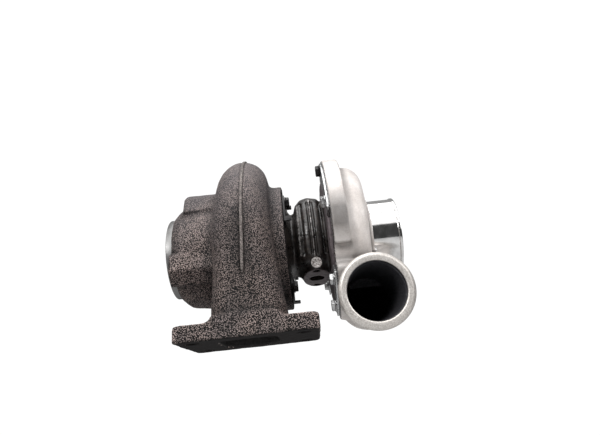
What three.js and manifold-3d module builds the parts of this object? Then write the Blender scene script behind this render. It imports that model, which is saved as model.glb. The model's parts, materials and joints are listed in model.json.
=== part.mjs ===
// A small oil-cooled turbocharger, taken apart into the pieces it is assembled from.
// Millimetres, +Z up. The origin is the centre of the turbine inlet flange's bottom face.
// Every piece is drawn in the shaft frame: X runs along the shaft from the turbine outlet (-X)
// to the compressor inlet (+X), with X = 0 over the middle of the inlet flange. Angles round the
// shaft are in degrees, 0 at the front (-Y), 90 at the top and 180 at the back.
import * as THREE from "three";
import { mergeVertices } from "three/addons/utils/BufferGeometryUtils.js";
import Module from "manifold-3d";

const wasm = await Module();
wasm.setup();

// ---- Driving dimensions -------------------------------------------------------------------

const SHAFT_HEIGHT = 86.8; // shaft axis above the inlet flange's face
const SHAFT_SETBACK = 42.5; // shaft axis behind the inlet flange's centre
const GAP = 0.3; // between pieces that touch

const FLANGE = { length: 108, depth: 86.5, thickness: 12.9, corner: 6, holeRadius: 5.25 };
const FLANGE_HOLES = { x: 42, y: 29 }; // half the spacing of the four inlet stud holes
const PORT = { x: -1.5, halfLength: 22.5, halfDepth: 26 }; // turbine inlet port in the flange

const NECK_FRONT = -84.3; // front of the inlet neck, just behind the flange's edge
const COLLAR = { left: -25, right: 25, top: -69.3, back: -14 }; // step where the neck lands
const SCROLL = { end: 330, reach: [85.5, 63], size: [24.5, 12], x: [-1.5, 6.5] }; // first, last
const RIDGE = { halfWidth: 1.3, height: 0.9, root: 3, top: 150, foot: -40 };
// Sections across the shaft, as [forward, up]: the ledge below the outlet and the pad above it.
const LEDGE = [[30, -4], [46.2, -8.5], [50.5, -23.5], [40.5, -35.5], [28, -30]];
const PAD = [[22, 20], [38, 29.5], [40.5, 31.5], [33, 46.3], [22, 53], [0, 57.2], [-14, 55.5], [-12, 30]];

const TURBINE = { tip: 30, exducer: 24.4, hub: 8, blades: 9, bladeThickness: 1.3 };
const COMPRESSOR = { tip: 29, inducer: 20.5, hub: 7, blades: 10, bladeThickness: 1.0 };

const OUTLET = { face: -70.6, lip: 36.6, lipLength: 5.6, bore: 31.2 }; // turbine outlet
// The compressor inlet: its face and the face of the boss behind it, then radii.
const INLET = { face: 134.35, boss: 109.4, spigot: 34.8, lip: 35.6, lipLength: 2.3, bore: 31 };
const DELIVERY = { x: 99.6, y: -74.2, z: -62.3, droop: 4.2, bore: 22.9, pipe: 26, bead: 29.8 };

const BACK_FLANGE = { left: 22, right: 34, radius: 57, seat: 45.5, shoulder: 25.5 };
const COVER_RIM = { left: 72.25, right: 86.5, radius: 66, lobe: 76.9, seat: 62.4, shoulder: 80.5 };

const TURBINE_BOLTS = { angles: [33, -57, -162, 138], radius: 51.2 };
const TURBINE_CLAMP = { ahead: 8, behind: 25, tab: 5, reach: 6.3 }; // degrees each side of the bolt
const COVER_CLAMPS = { centres: [-53, 33, 187], spreads: [12, 20, 15], radius: 69.3, beyond: 7 };
const BOLT = { shank: 3, hole: 3.3, head: 5.3, headLength: 3.8, screwIn: 7 };
const PLATE_THICKNESS = 1.7;

const JOURNAL = 4.5; // shaft radius in the bearings
const STUB = 3.2; // shaft radius through the compressor wheel
const BEARING = { bore: 4.8, radius: 7.2, housing: 7.6 };
const SEAL_BORE = { turbine: 8.8, compressor: 6.8 };
const DRAIN = { x: 57.5, y: -2.5, z: -32.5, tilt: 5, halfWidth: 12.3, halfLength: 24.5, bore: 6.65 };
// Grooves round the front of the bearing housing's drum, between two angles.
const FLUTES = { places: [48.2, 55.4, 58.9, 65.8], halfWidths: [1.9, 0.9, 1.1, 1.2] };
const FLUTE_FLOORS = [39.3, 41.7, 41.5, 38.8];
const FLUTE_ARC = [-31, 52];
const DRAIN_BOLTS = { spacing: 40, radius: 3.1, depth: 11 };
const OIL_FEED = { x: 57, top: 41.3, spotFace: 9, thread: 5.2, gallery: 2 };
const GALLERY_PLUG = { x: 57.8, y: -35.8, z: -26, tilt: 20, radius: 4.6 };

const ROUND = 28; // facets round a large turned piece
const SMALL_ROUND = 16; // facets round a small one
const BORE_ROUND = 20; // facets round the bearing housing's bore

// ---- Geometry helpers ---------------------------------------------------------------------

const radians = (degrees) => (degrees * Math.PI) / 180;
const between = (a, b, t) => a + (b - a) * t;
const range = (count) => [...Array(count).keys()];

// The point at distance r from the shaft, at an angle round it.
function polar(x, r, degrees) {
  const a = radians(degrees);
  return new THREE.Vector3(x, -r * Math.cos(a), r * Math.sin(a));
}

// A closed three.js geometry as a solid that can be joined and cut, with its faces outwards.
function solid(geometry) {
  const bare = geometry.index ? geometry.toNonIndexed() : geometry.clone();
  bare.deleteAttribute("normal");
  bare.deleteAttribute("uv");
  const merged = mergeVertices(bare, 1e-4);
  const corners = merged.index.array;
  const triangles = [];
  for (let i = 0; i < corners.length; i += 3) {
    const [a, b, c] = [corners[i], corners[i + 1], corners[i + 2]];
    if (a !== b && b !== c && c !== a) triangles.push(a, b, c);
  }
  const make = () =>
    new wasm.Manifold(
      new wasm.Mesh({
        numProp: 3,
        vertProperties: merged.attributes.position.array,
        triVerts: new Uint32Array(triangles),
      }),
    );
  const made = make();
  if (made.volume() > 0) return made;
  triangles.reverse();
  return make();
}

function geometryOf(shape) {
  const { vertProperties, triVerts } = shape.getMesh();
  const geometry = new THREE.BufferGeometry();
  geometry.setAttribute("position", new THREE.BufferAttribute(vertProperties, 3));
  geometry.setIndex(new THREE.BufferAttribute(triVerts, 1));
  geometry.computeVertexNormals();
  return geometry;
}

const join = (...shapes) => shapes.reduce((whole, shape) => whole.add(shape));
const cut = (shape, ...tools) => tools.reduce((left, tool) => left.subtract(tool), shape);

// A piece turned about the shaft, from its outline as [x, radius] points.
function turned(outline, facets = ROUND) {
  const points = outline.map(([x, r]) => new THREE.Vector2(r, x));
  return solid(new THREE.LatheGeometry(points, facets).rotateZ(-Math.PI / 2));
}

// A turned solid with its ends closed on the axis.
function spindle(outline, facets) {
  return turned([[outline[0][0], 0], ...outline, [outline.at(-1)[0], 0]], facets);
}

// A ring of rectangular section round the shaft.
function ring(x0, x1, inner, outer, facets) {
  return turned([[x0, inner], [x1, inner], [x1, outer], [x0, outer], [x0, inner]], facets);
}

// A drawing across the shaft (right is the front, up is up), extruded along the shaft.
const ACROSS_SHAFT = new THREE.Matrix4().makeBasis(
  new THREE.Vector3(0, -1, 0),
  new THREE.Vector3(0, 0, 1),
  new THREE.Vector3(1, 0, 0),
);

function acrossShaft(shape, x0, x1, curveSegments = 12) {
  const options = { depth: x1 - x0, bevelEnabled: false, curveSegments };
  const geometry = new THREE.ExtrudeGeometry(shape, options);
  return solid(geometry.applyMatrix4(ACROSS_SHAFT).translate(x0, 0, 0));
}

// Part of a ring round the shaft, between two angles.
function sector(x0, x1, inner, outer, from, to, curveSegments = 8) {
  const shape = new THREE.Shape();
  shape.absarc(0, 0, outer, radians(from), radians(to), false);
  shape.absarc(0, 0, inner, radians(to), radians(from), true);
  return acrossShaft(shape, x0, x1, curveSegments);
}

// A round rod or cone between two points.
function rod(start, end, radius, facets = SMALL_ROUND, endRadius = radius) {
  const along = new THREE.Vector3().subVectors(end, start);
  const geometry = new THREE.CylinderGeometry(endRadius, radius, along.length(), facets);
  const turn = new THREE.Quaternion().setFromUnitVectors(
    new THREE.Vector3(0, 1, 0),
    along.clone().normalize(),
  );
  geometry.applyQuaternion(turn);
  const middle = start.clone().add(end).multiplyScalar(0.5);
  return solid(geometry.translate(middle.x, middle.y, middle.z));
}

const rodAlongX = (x0, x1, r, angle, radius, facets) =>
  rod(polar(x0, r, angle), polar(x1, r, angle), radius, facets);

// A solid through a row of sections, each a loop of the same number of points.
function loft(sections) {
  const count = sections[0].length;
  const points = sections.flat();
  const index = [];
  for (let s = 0; s < sections.length - 1; s++) {
    for (let i = 0; i < count; i++) {
      const [a, b] = [s * count + i, s * count + ((i + 1) % count)];
      index.push(a, b, b + count, a, b + count, a + count);
    }
  }
  for (const [section, flip] of [[sections[0], true], [sections.at(-1), false]]) {
    const first = flip ? 0 : (sections.length - 1) * count;
    const centre = section.reduce((sum, p) => sum.add(p), new THREE.Vector3());
    points.push(centre.divideScalar(count));
    for (let i = 0; i < count; i++) {
      const [a, b] = [first + i, first + ((i + 1) % count)];
      index.push(...(flip ? [b, a, points.length - 1] : [a, b, points.length - 1]));
    }
  }
  const geometry = new THREE.BufferGeometry().setFromPoints(points);
  geometry.setIndex(index);
  return solid(geometry);
}

// A section of a scroll: an oval across the flow, in the half plane at one angle.
function scrollSection(angle, { x, r, halfWidth, outward, inward }, points) {
  return range(points).map((i) => {
    const a = (2 * Math.PI * i) / points;
    const height = Math.sin(a) * (Math.sin(a) > 0 ? outward : inward);
    return polar(x + halfWidth * Math.cos(a), r + height, angle);
  });
}

// A rounded rectangle at one height, as a section of the inlet neck.
function neckSection(z, x0, x1, y0, y1, points, squareness = 0.5) {
  return range(points).map((i) => {
    const a = (2 * Math.PI * i) / points;
    const [c, s] = [Math.cos(a), Math.sin(a)];
    const rounded = (v) => Math.sign(v) * Math.abs(v) ** squareness;
    const [halfX, halfY] = [(x1 - x0) / 2, (y1 - y0) / 2];
    return new THREE.Vector3(x0 + halfX + halfX * rounded(c), y0 + halfY - halfY * rounded(s), z);
  });
}

// A thin blade from one end of its hub line to the other. Each station is
// [hub x, hub radius, tip x, tip radius, angle round the shaft].
function blade(stations, thickness, turn) {
  return loft(
    stations.map(([hubX, hubR, tipX, tipR, angle]) => {
      const half = (r) => (thickness / 2 / r) * (180 / Math.PI);
      const centre = angle + turn;
      return [
        polar(hubX, hubR, centre - half(hubR)),
        polar(hubX, hubR, centre + half(hubR)),
        polar(tipX, tipR, centre + half(tipR)),
        polar(tipX, tipR, centre - half(tipR)),
      ];
    }),
  );
}

// ---- Materials ----------------------------------------------------------------------------

const metal = (color, roughness, metalness) =>
  new THREE.MeshStandardMaterial({ color, roughness, metalness });
const SAND_CAST_IRON = metal(0x54483f, 0.75, 0.5);
const BLACK_CAST_IRON = metal(0x1e1c1b, 0.45, 0.5);
const CAST_ALUMINIUM = metal(0xb9b3a8, 0.5, 0.8);
const MACHINED_ALUMINIUM = metal(0xc9cace, 0.25, 0.9);
const STEEL = metal(0x9a9a9c, 0.35, 0.9);
const BLACK_STEEL = metal(0x232323, 0.5, 0.7);
const NICKEL_ALLOY = metal(0x6d655e, 0.45, 0.9);
const BRONZE = metal(0xa9803c, 0.35, 0.9);
const RUBBER = metal(0x1a1a1a, 0.8, 0);

// ---- Turbine housing ----------------------------------------------------------------------

// The scroll's oval at an angle, with its wall taken off inside.
function turbineScroll(angle, wall, points) {
  const { x, r, radius } = scrollAt(angle);
  const size = radius - wall;
  return scrollSection(angle, { x, r, halfWidth: size, outward: size + 0.5, inward: size }, points);
}

// The scroll's section at an angle: where its middle is along and out from the shaft, its radius.
function scrollAt(angle) {
  const round = angle / SCROLL.end;
  const radius = between(...SCROLL.size, round ** 0.72);
  const reach = between(...SCROLL.reach, round ** 1.35);
  return { x: between(...SCROLL.x, round ** 0.72), r: reach - radius, radius };
}

function turbineHousingOutside() {
  const { face, lip, lipLength } = OUTLET;
  const core = spindle([
    [face, lip],
    [face + lipLength, lip],
    [face + lipLength, 39],
    [-60.7, 43],
    [-56.5, 46],
    [-40, 48.5],
    [BACK_FLANGE.left, 50],
    [BACK_FLANGE.left, BACK_FLANGE.radius],
    [BACK_FLANGE.right, BACK_FLANGE.radius],
  ]);
  const scroll = loft(range(16).map((i) => turbineScroll(22 * i, 0, 12)));
  const outline = (points) => new THREE.Shape(points.map((point) => new THREE.Vector2(...point)));
  const pad = acrossShaft(outline(PAD), -54.3, -10);
  const ledge = acrossShaft(outline(LEDGE), -66.3, -10);
  return join(core, scroll, pad, ledge, inletNeck(), collar(), inletFlange(), partingRidge());
}

// The neck falls from the scroll's mouth at the front to the flange.
function inletNeck() {
  return loft([
    neckSection(4, -25.5, 23, -85.5, -36, 12, 0.9),
    neckSection(-25, -24.5, 25, -85.2, -30, 12, 0.85),
    neckSection(-50, -26.5, 28, NECK_FRONT, -20, 12, 0.8),
    neckSection(-66, -28, 30, NECK_FRONT, -12, 12, 0.75),
    neckSection(COLLAR.top - 1, -28, 31, NECK_FRONT, -12, 12, 0.75),
  ]);
}

// The low step on the flange that the neck stands on, flush with the flange's front.
function collar() {
  const { left, right, top, back } = COLLAR;
  const front = -SHAFT_SETBACK - FLANGE.depth / 2;
  const bottom = -SHAFT_HEIGHT + FLANGE.thickness - 1;
  return loft([
    neckSection(bottom, left - 6, right + 6, front, back, 12, 0.15),
    neckSection(bottom + 2.5, left - 3, right + 3, front, back, 12, 0.15),
    neckSection(top, left, right, front, back, 12, 0.15),
  ]);
}

function inletFlange() {
  const { length, depth, thickness, corner } = FLANGE;
  const [x, y] = [length / 2, depth / 2];
  const shape = new THREE.Shape();
  const corners = [[x, y, 0], [-x, y, 90], [-x, -y, 180], [x, -y, 270]];
  for (const [cx, cy, from] of corners) {
    const [px, py] = [cx - Math.sign(cx) * corner, cy - Math.sign(cy) * corner];
    shape.absarc(px, py, corner, radians(from), radians(from + 90), false);
  }
  const options = { depth: thickness, bevelEnabled: false, curveSegments: 3 };
  const plate = new THREE.ExtrudeGeometry(shape, options);
  return solid(plate.translate(0, -SHAFT_SETBACK, -SHAFT_HEIGHT));
}

// The raised rib left where the moulds met: along the crest of the scroll, then down the neck.
function partingRidge() {
  const { halfWidth, height, root, top, foot } = RIDGE;
  const corners = [[-halfWidth, -root], [-halfWidth, height], [halfWidth, height], [halfWidth, -root]];
  const crest = range(11).map((i) => {
    const angle = between(top, 0, i / 10);
    const x = between(2.2, 4, angle / top);
    const { r, radius } = scrollAt(angle);
    return corners.map(([side, out]) => polar(x + side, r + radius + 0.5 + out, angle));
  });
  const neck = range(4).map((i) => {
    const share = (i + 1) / 4;
    const [x, z] = [between(2.2, 0.5, share), foot * share];
    const front = between(-85.5, NECK_FRONT, -z / 50);
    return corners.map(([side, out]) => new THREE.Vector3(x + side, front - out, z));
  });
  return loft([...crest, ...neck]);
}

function turbinePassages() {
  const { face, bore } = OUTLET;
  const shroud = TURBINE.exducer + 0.8;
  const middle = spindle([
    [face - 1, bore],
    [face + 4, bore],
    [-16, shroud],
    [1, shroud],
    [7, shroud + 2.8],
    [9, TURBINE.tip + 1],
    [9, 50.5],
    [17.6, 50.5],
    [17.6, 41],
    [BACK_FLANGE.shoulder, 41],
    [BACK_FLANGE.shoulder, BACK_FLANGE.seat],
    [BACK_FLANGE.right + 1, BACK_FLANGE.seat],
  ]);
  const scroll = loft(range(16).map((i) => turbineScroll(22 * i, 4.5, 8)));
  const { x, halfLength, halfDepth } = PORT;
  const centre = -SHAFT_SETBACK;
  const mouth = [x - halfLength, x + halfLength, centre - halfDepth, centre + halfDepth];
  const port = loft([
    neckSection(-SHAFT_HEIGHT - 1, ...mouth, 12, 0.6),
    neckSection(-SHAFT_HEIGHT + 14, ...mouth, 12, 0.6),
    neckSection(-45, -22.5, 19, -76, -27, 12, 0.7),
    neckSection(-20, -21.5, 18.5, -80.5, -38, 12, 0.85),
    neckSection(1, -21.5, 18.5, -81.5, -41, 12, 1),
  ]);
  return [middle, scroll, port];
}

function turbineHousing() {
  const studs = [-1, 1].flatMap((sx) =>
    [-1, 1].map((sy) => {
      const at = (z) =>
        new THREE.Vector3(sx * FLANGE_HOLES.x, sy * FLANGE_HOLES.y - SHAFT_SETBACK, z);
      const top = -SHAFT_HEIGHT + FLANGE.thickness + 12;
      return rod(at(-SHAFT_HEIGHT - 1), at(top), FLANGE.holeRadius, 12);
    }),
  );
  const { right } = BACK_FLANGE;
  const threads = TURBINE_BOLTS.angles.map((angle) =>
    rodAlongX(right - BOLT.screwIn - 1, right + 1, TURBINE_BOLTS.radius, angle, BOLT.hole, 8),
  );
  return cut(turbineHousingOutside(), ...turbinePassages(), ...studs, ...threads);
}

// ---- Bearing housing ----------------------------------------------------------------------

// The drain pad's own frame: its normal leans a little to the front.
function drainPoint(across, out) {
  const a = radians(DRAIN.tilt);
  return new THREE.Vector3(
    DRAIN.x,
    DRAIN.y + across * Math.cos(a) - out * Math.sin(a),
    DRAIN.z - across * Math.sin(a) - out * Math.cos(a),
  );
}

function bearingHousingOutside() {
  const drum = spindle([
    [19.6, 11],
    [26.7, 13],
    [26.7, 45.1],
    [33.8, 45.1],
    [34.2, 37.6],
    [39, 30],
    [42, 31],
    [44.4, 38],
    [49, 42.6],
    [56, 44.5],
    [64.5, 42.6],
    [67.4, 39.6],
    [69.4, 40.5],
    [69.9, 56.6],
    [72.4, 56.9],
    [72.4, 62],
    [80.2, 62],
  ]);
  // Below the drum the casting narrows to the drain pad.
  const below = new THREE.Vector3(56, -2, -62);
  const trim = solid(
    new THREE.BoxGeometry(34, 140, 60)
      .rotateX(-radians(DRAIN.tilt))
      .translate(below.x - 3.8, below.y, below.z - 0.3),
  );
  const pad = drainPadBlock();
  return join(cut(drum, trim), pad);
}

function drainPadBlock() {
  const oval = (across, out, half, halfLong) =>
    range(20).map((i) => {
      const a = (2 * Math.PI * i) / 20;
      const p = drainPoint(across + halfLong * Math.sin(a), out);
      return p.add(new THREE.Vector3(half * Math.cos(a), 0, 0));
    });
  return loft([
    oval(0, 0, DRAIN.halfWidth, DRAIN.halfLength),
    oval(0, -7, DRAIN.halfWidth, DRAIN.halfLength),
    oval(0, -22, DRAIN.halfWidth - 1, DRAIN.halfLength + 3),
  ]);
}

const circlipGroove = (x0) => [
  [x0 - GAP, BEARING.housing],
  [x0 - GAP, 8.6],
  [x0 + 0.9 + GAP, 8.6],
  [x0 + 0.9 + GAP, BEARING.housing],
];

function bearingHousingPassages() {
  const bore = spindle([
    [18, SEAL_BORE.turbine],
    [25, SEAL_BORE.turbine],
    [25, 12],
    [29, 12],
    [29, BEARING.housing],
    ...circlipGroove(30.8),
    ...circlipGroove(41.7),
    ...circlipGroove(48.4),
    [60.7, BEARING.housing],
    [60.7, 10],
    [63.3, 10],
    [63.3, 19.6],
    [68, 19.6],
    [68, 24],
    [69.8, 24],
    [69.8, 26],
    [76.9, 26],
    [76.9, 27.3],
    [78.5, 27.3],
    [78.5, 26],
    [79, 26],
    [79, 29.8],
    [81, 29.8],
  ], BORE_ROUND);
  const groove = ring(74.9, 77.7, 60.5, 63, ROUND);
  const sump = solid(new THREE.BoxGeometry(24, 22, 14).translate(54.5, -1, -19));
  const slot = solid(new THREE.BoxGeometry(4.4, 8, 14).translate(45.4, 0, -10));
  const turbineDrain = rod(polar(27.2, 9, -90), polar(47, 20, -90), 3, 10);
  const drain = rod(drainPoint(0, 1), drainPoint(0, -14), DRAIN.bore);
  const flutes = FLUTES.places.map((x, i) => {
    const half = FLUTES.halfWidths[i];
    return sector(x - half, x + half, FLUTE_FLOORS[i], 50, ...FLUTE_ARC, 4);
  });
  const drainThreads = [-1, 1].map((side) => {
    const across = (side * DRAIN_BOLTS.spacing) / 2;
    return rod(drainPoint(across, 1), drainPoint(across, -DRAIN_BOLTS.depth), DRAIN_BOLTS.radius, 12);
  });
  const holes = [...drainThreads, ...oilFeed(), plugHole()];
  return [bore, groove, sump, slot, turbineDrain, drain, ...holes, ...flutes];
}

function oilFeed() {
  const { x, top, spotFace, thread, gallery } = OIL_FEED;
  const at = (z) => new THREE.Vector3(x, 0, z);
  return [
    rod(at(top), at(top + 5), spotFace, SMALL_ROUND),
    rod(at(top - 14), at(top + 1), thread, 16),
    rod(at(5), at(top - 13), gallery, 8),
  ];
}

function plugPoint(out) {
  const { x, y, z, tilt } = GALLERY_PLUG;
  const a = radians(tilt);
  return new THREE.Vector3(x, y - out * Math.cos(a), z - out * Math.sin(a));
}

const plugHole = () => rod(plugPoint(-8), plugPoint(8), GALLERY_PLUG.radius + GAP, 16);
const galleryPlug = () => rod(plugPoint(-6.5), plugPoint(1.6), GALLERY_PLUG.radius, 16);

function bearingHousing() {
  const screws = THRUST_SCREW_ANGLES.map((angle) => rodAlongX(55.5, 64, 15, angle, 2.2, 8));
  return cut(bearingHousingOutside(), ...bearingHousingPassages(), ...screws);
}

// ---- Bearings, seals and the small rings inside --------------------------------------------

const floatingBearing = (x0, x1) =>
  cut(
    ring(x0, x1, BEARING.bore, BEARING.radius, SMALL_ROUND),
    ...[0, 90, 180, 270].map((angle) =>
      rod(polar((x0 + x1) / 2, 3, angle), polar((x0 + x1) / 2, 9, angle), 0.9, 6),
    ),
  );

const circlip = (x0) => sector(x0, x0 + 0.9, 6.4, 8.3, -78, 258, 10);

const THRUST_SCREW_ANGLES = [0, 180];

function thrustBearing() {
  const plate = sector(63.6, 67.2, 5.65, 19, -62, 242, 12);
  const holes = THRUST_SCREW_ANGLES.map((angle) => rodAlongX(62, 69, 15, angle, 2.2, 8));
  return cut(plate, ...holes);
}

const thrustScrew = (angle) =>
  join(rodAlongX(57, 68, 15, angle, 1.8, 8), rodAlongX(67.5, 69.4, 15, angle, 3.2, 12));

const thrustCollar = () =>
  turned([
    [61.1, 3.5], [67.2, 3.5], [67.2, 5.3], [63.3, 5.3], [63.3, 9.2], [61.1, 9.2], [61.1, 3.5],
  ], SMALL_ROUND);

const flingerSleeve = () =>
  turned([
    [67.5, 3.5], [79.1, 3.5], [79.1, 6.1], [75.2, 6.1], [75.2, 4.7], [73.4, 4.7], [73.4, 6.1],
    [69.3, 6.1], [69.3, 9.2], [67.5, 9.2], [67.5, 3.5],
  ], SMALL_ROUND);

const pistonRing = (x0, x1, inner, outer) => sector(x0, x1, inner, outer, -88, 268, 12);

const oilDeflector = () =>
  join(ring(70.1, 71, 7, 25.3, SMALL_ROUND), sector(68.6, 70.5, 15.2, 16.2, -130, -50, 5));

const sealPlate = () =>
  turned([
    [71.3, SEAL_BORE.compressor], [76.8, SEAL_BORE.compressor], [76.8, 25.3], [75.5, 25.3],
    [75.5, 24], [72.9, 24], [72.9, 25.3], [71.3, 25.3], [71.3, SEAL_BORE.compressor],
  ], SMALL_ROUND);

// A rubber ring of six-sided section.
function oRing(x, radius, section, facets) {
  const outline = range(7).map((i) => {
    const a = (2 * Math.PI * (i % 6)) / 6;
    return [x + section * Math.cos(a), radius + section * Math.sin(a)];
  });
  return turned(outline, facets);
}

const snapRing = () => sector(77.1, 78.3, 22.8, 26.7, -80, 260, 12);

const heatShield = () =>
  turned([
    [18.1, 10.8], [18.1, 39.8], [25.8, 40.6], [25.8, 45.2], [26.4, 45.2], [26.4, 39.8],
    [18.8, 39], [18.8, 10.8], [18.1, 10.8],
  ]);

// ---- Rotor --------------------------------------------------------------------------------

function turbineWheelAndShaft() {
  const { tip, exducer, hub, blades, bladeThickness } = TURBINE;
  const body = spindle([
    [-12, 3.5],
    [-11, 6],
    [-4, hub],
    [6, 11.5],
    [12, 17],
    [15.5, 24],
    [16.2, 27.5],
    [17.5, 27.5],
    [17.8, 8.1],
    [21.6, 8.1],
    [21.6, 6.6],
    [23.4, 6.6],
    [23.4, 8.1],
    [25.6, 8.1],
    [27, JOURNAL],
    [60.8, JOURNAL],
    [60.8, STUB],
    [111.4, STUB],
    [112, 2.6],
  ], SMALL_ROUND);
  const stations = [
    [15.8, 24, 16.4, tip, 0],
    [15, 20, 10, tip - 0.4, 0],
    [11, 14, 8.6, 27.4, -3],
    [2, 8.6, 2.5, exducer, -12],
    [-10, 5.4, -9, exducer, -38],
  ];
  const vanes = range(blades).map((i) => blade(stations, bladeThickness, (360 / blades) * i));
  return join(body, ...vanes);
}

function compressorWheel() {
  const { tip, inducer, hub, blades, bladeThickness } = COMPRESSOR;
  const body = turned([
    [79.4, 3.5],
    [103, 3.5],
    [103, hub - 0.6],
    [96, hub + 0.8],
    [90, 11],
    [85, 16.5],
    [82, 23],
    [80.6, tip],
    [79.4, tip],
    [79.4, 3.5],
  ], 20);
  const full = [
    [101.6, 6, 101, inducer, 0],
    [96, 6.8, 95.5, inducer + 0.2, 18],
    [90, 10, 90.3, inducer + 1.6, 35],
    [83, 20, 86, 25.4, 52],
    [80, tip, 84.9, tip, 62],
  ];
  const splitter = full.slice(1);
  const vanes = range(blades).map((i) =>
    blade(i % 2 ? splitter : full, bladeThickness, (360 / blades) * i),
  );
  return join(body, ...vanes);
}

function shaftNut() {
  const hexagon = rod(new THREE.Vector3(103.3, 0, 0), new THREE.Vector3(108.6, 0, 0), 6, 6);
  const collar = rod(new THREE.Vector3(103.3, 0, 0), new THREE.Vector3(104.6, 0, 0), 6.2);
  const thread = rod(new THREE.Vector3(102, 0, 0), new THREE.Vector3(110, 0, 0), STUB + GAP);
  return cut(join(hexagon, collar), thread);
}

// ---- Compressor cover ---------------------------------------------------------------------

const VOLUTE = { start: -30, end: 270, firstX: 88.4, firstRadius: 7.5, lastRadius: 20, wall: 3.8 };

// The volute's round section, growing from the tongue to the bottom.
function coverVolute(round, wall, points) {
  const radius = between(VOLUTE.firstRadius, VOLUTE.lastRadius, round ** 1.4);
  const angle = between(VOLUTE.start, VOLUTE.end, round);
  return scrollSection(
    angle,
    {
      x: between(VOLUTE.firstX, DELIVERY.x, round ** 1.24),
      r: between(53.5, 57, round),
      halfWidth: radius + wall,
      outward: radius + wall,
      inward: radius + wall,
    },
    points,
  );
}

// A point on the delivery pipe's axis, at a distance back from its mouth.
function deliveryPoint(back) {
  const a = radians(DELIVERY.droop);
  return new THREE.Vector3(
    DELIVERY.x,
    DELIVERY.y + back * Math.cos(a),
    DELIVERY.z + back * Math.sin(a),
  );
}

// The delivery pipe with its rolled bead, turned about its own axis.
function deliveryPipe() {
  const { pipe, bead } = DELIVERY;
  const outline = [[0, 0], [0, bead - 2], [1.5, bead], [4.5, bead], [7.5, pipe], [76, 23.8], [76, 0]];
  const points = outline.map(([back, r]) => new THREE.Vector2(r, back));
  const geometry = new THREE.LatheGeometry(points, 24);
  geometry.rotateX(radians(DELIVERY.droop));
  return solid(geometry.translate(DELIVERY.x, DELIVERY.y, DELIVERY.z));
}

function coverOutside() {
  const { left, right, radius, lobe } = COVER_RIM;
  const { face, boss, spigot, lip, lipLength } = INLET;
  const body = spindle([
    [left, radius],
    [right, radius],
    [right + 1.5, 60],
    [boss - 9, 60],
    [boss - 5.8, 56.5],
    [boss - 5.8, 38.7],
    [boss, 38.7],
    [boss, spigot],
    [face - lipLength, spigot],
    [face - lipLength, lip],
    [face, lip],
  ]);
  const lobes = [[-17, 106], [-76, -30], [160, 214]].map(([from, to]) =>
    sector(left, right, 55, lobe, from, to, Math.ceil((to - from) / 9)),
  );
  const volute = loft(range(15).map((i) => coverVolute(i / 14, VOLUTE.wall, 12)));
  return join(body, ...lobes, volute, deliveryPipe());
}

function coverPassages() {
  const { left, seat, shoulder } = COVER_RIM;
  const { tip, inducer } = COMPRESSOR;
  const middle = spindle([
    [left - 1, seat],
    [shoulder, seat],
    [shoulder, 52],
    [85.3, 52],
    [85.3, tip + 0.5],
    [86, 27.4],
    [88, 24.2],
    [91.4, inducer + 1.8],
    [97, inducer + 0.7],
    [104, inducer + 0.7],
    [110, inducer + 2.4],
    [122, 28.5],
    [INLET.face - 5, INLET.bore],
    [INLET.face + 1, INLET.bore],
  ]);
  const volute = loft(range(15).map((i) => coverVolute(i / 14, 0, 8)));
  const bore = rod(deliveryPoint(75), deliveryPoint(-1), VOLUTE.lastRadius, 24, DELIVERY.bore);
  return [middle, volute, bore];
}

function compressorCover() {
  const { left } = COVER_RIM;
  const threads = coverBoltAngles().map((angle) =>
    rodAlongX(left - 1, left + BOLT.screwIn + 1, COVER_CLAMPS.radius, angle, BOLT.hole, 8),
  );
  return cut(coverOutside(), ...coverPassages(), ...threads);
}

// ---- Clamp plates and bolts ---------------------------------------------------------------

const coverBoltAngles = () =>
  COVER_CLAMPS.centres.flatMap((centre, i) => {
    const spread = COVER_CLAMPS.spreads[i];
    return [centre - spread, centre + spread];
  });

// A hexagon-headed bolt along the shaft, its head beyond seat and its shank the other way.
function hexBolt(seat, away, radius, angle) {
  const head = rodAlongX(seat, seat + away * BOLT.headLength, radius, angle, BOLT.head, 6);
  const reach = PLATE_THICKNESS + BOLT.screwIn;
  const shank = rodAlongX(seat - away * reach, seat + away, radius, angle, BOLT.shank, 8);
  return join(head, shank);
}

// A plate over the bearing housing's flange, with a tab bent out along the shaft at its end.
function turbineClamp(angle) {
  const x0 = BACK_FLANGE.right + GAP;
  const { ahead, behind, tab, reach } = TURBINE_CLAMP;
  const plate = sector(x0, x0 + PLATE_THICKNESS, 41.2, 55, angle - behind, angle + ahead, 5);
  const lip = sector(x0, x0 + reach, 53.3, 55, angle - behind, angle - behind + tab, 1);
  const hole = rodAlongX(x0 - 1, x0 + 4, TURBINE_BOLTS.radius, angle, BOLT.hole, 8);
  return cut(join(plate, lip), hole);
}

const turbineBolt = (angle) =>
  hexBolt(BACK_FLANGE.right + PLATE_THICKNESS + 2 * GAP, 1, TURBINE_BOLTS.radius, angle);

function coverClamp(centre, spread) {
  const x1 = COVER_RIM.left - GAP;
  const half = spread + COVER_CLAMPS.beyond;
  const plate = sector(x1 - PLATE_THICKNESS, x1, 57.4, 75, centre - half, centre + half, 5);
  const holes = [centre - spread, centre + spread].map((angle) =>
    rodAlongX(x1 - 4, x1 + 1, COVER_CLAMPS.radius, angle, BOLT.hole, 8),
  );
  return cut(plate, ...holes);
}

const coverBolt = (angle) =>
  hexBolt(COVER_RIM.left - PLATE_THICKNESS - 2 * GAP, -1, COVER_CLAMPS.radius, angle);

// ---- The assembly -------------------------------------------------------------------------

const turbo = new THREE.Group();
turbo.position.set(0, SHAFT_SETBACK, SHAFT_HEIGHT);

function add(name, shape, material) {
  const mesh = new THREE.Mesh(geometryOf(shape), material);
  mesh.name = name;
  turbo.add(mesh);
}

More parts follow.
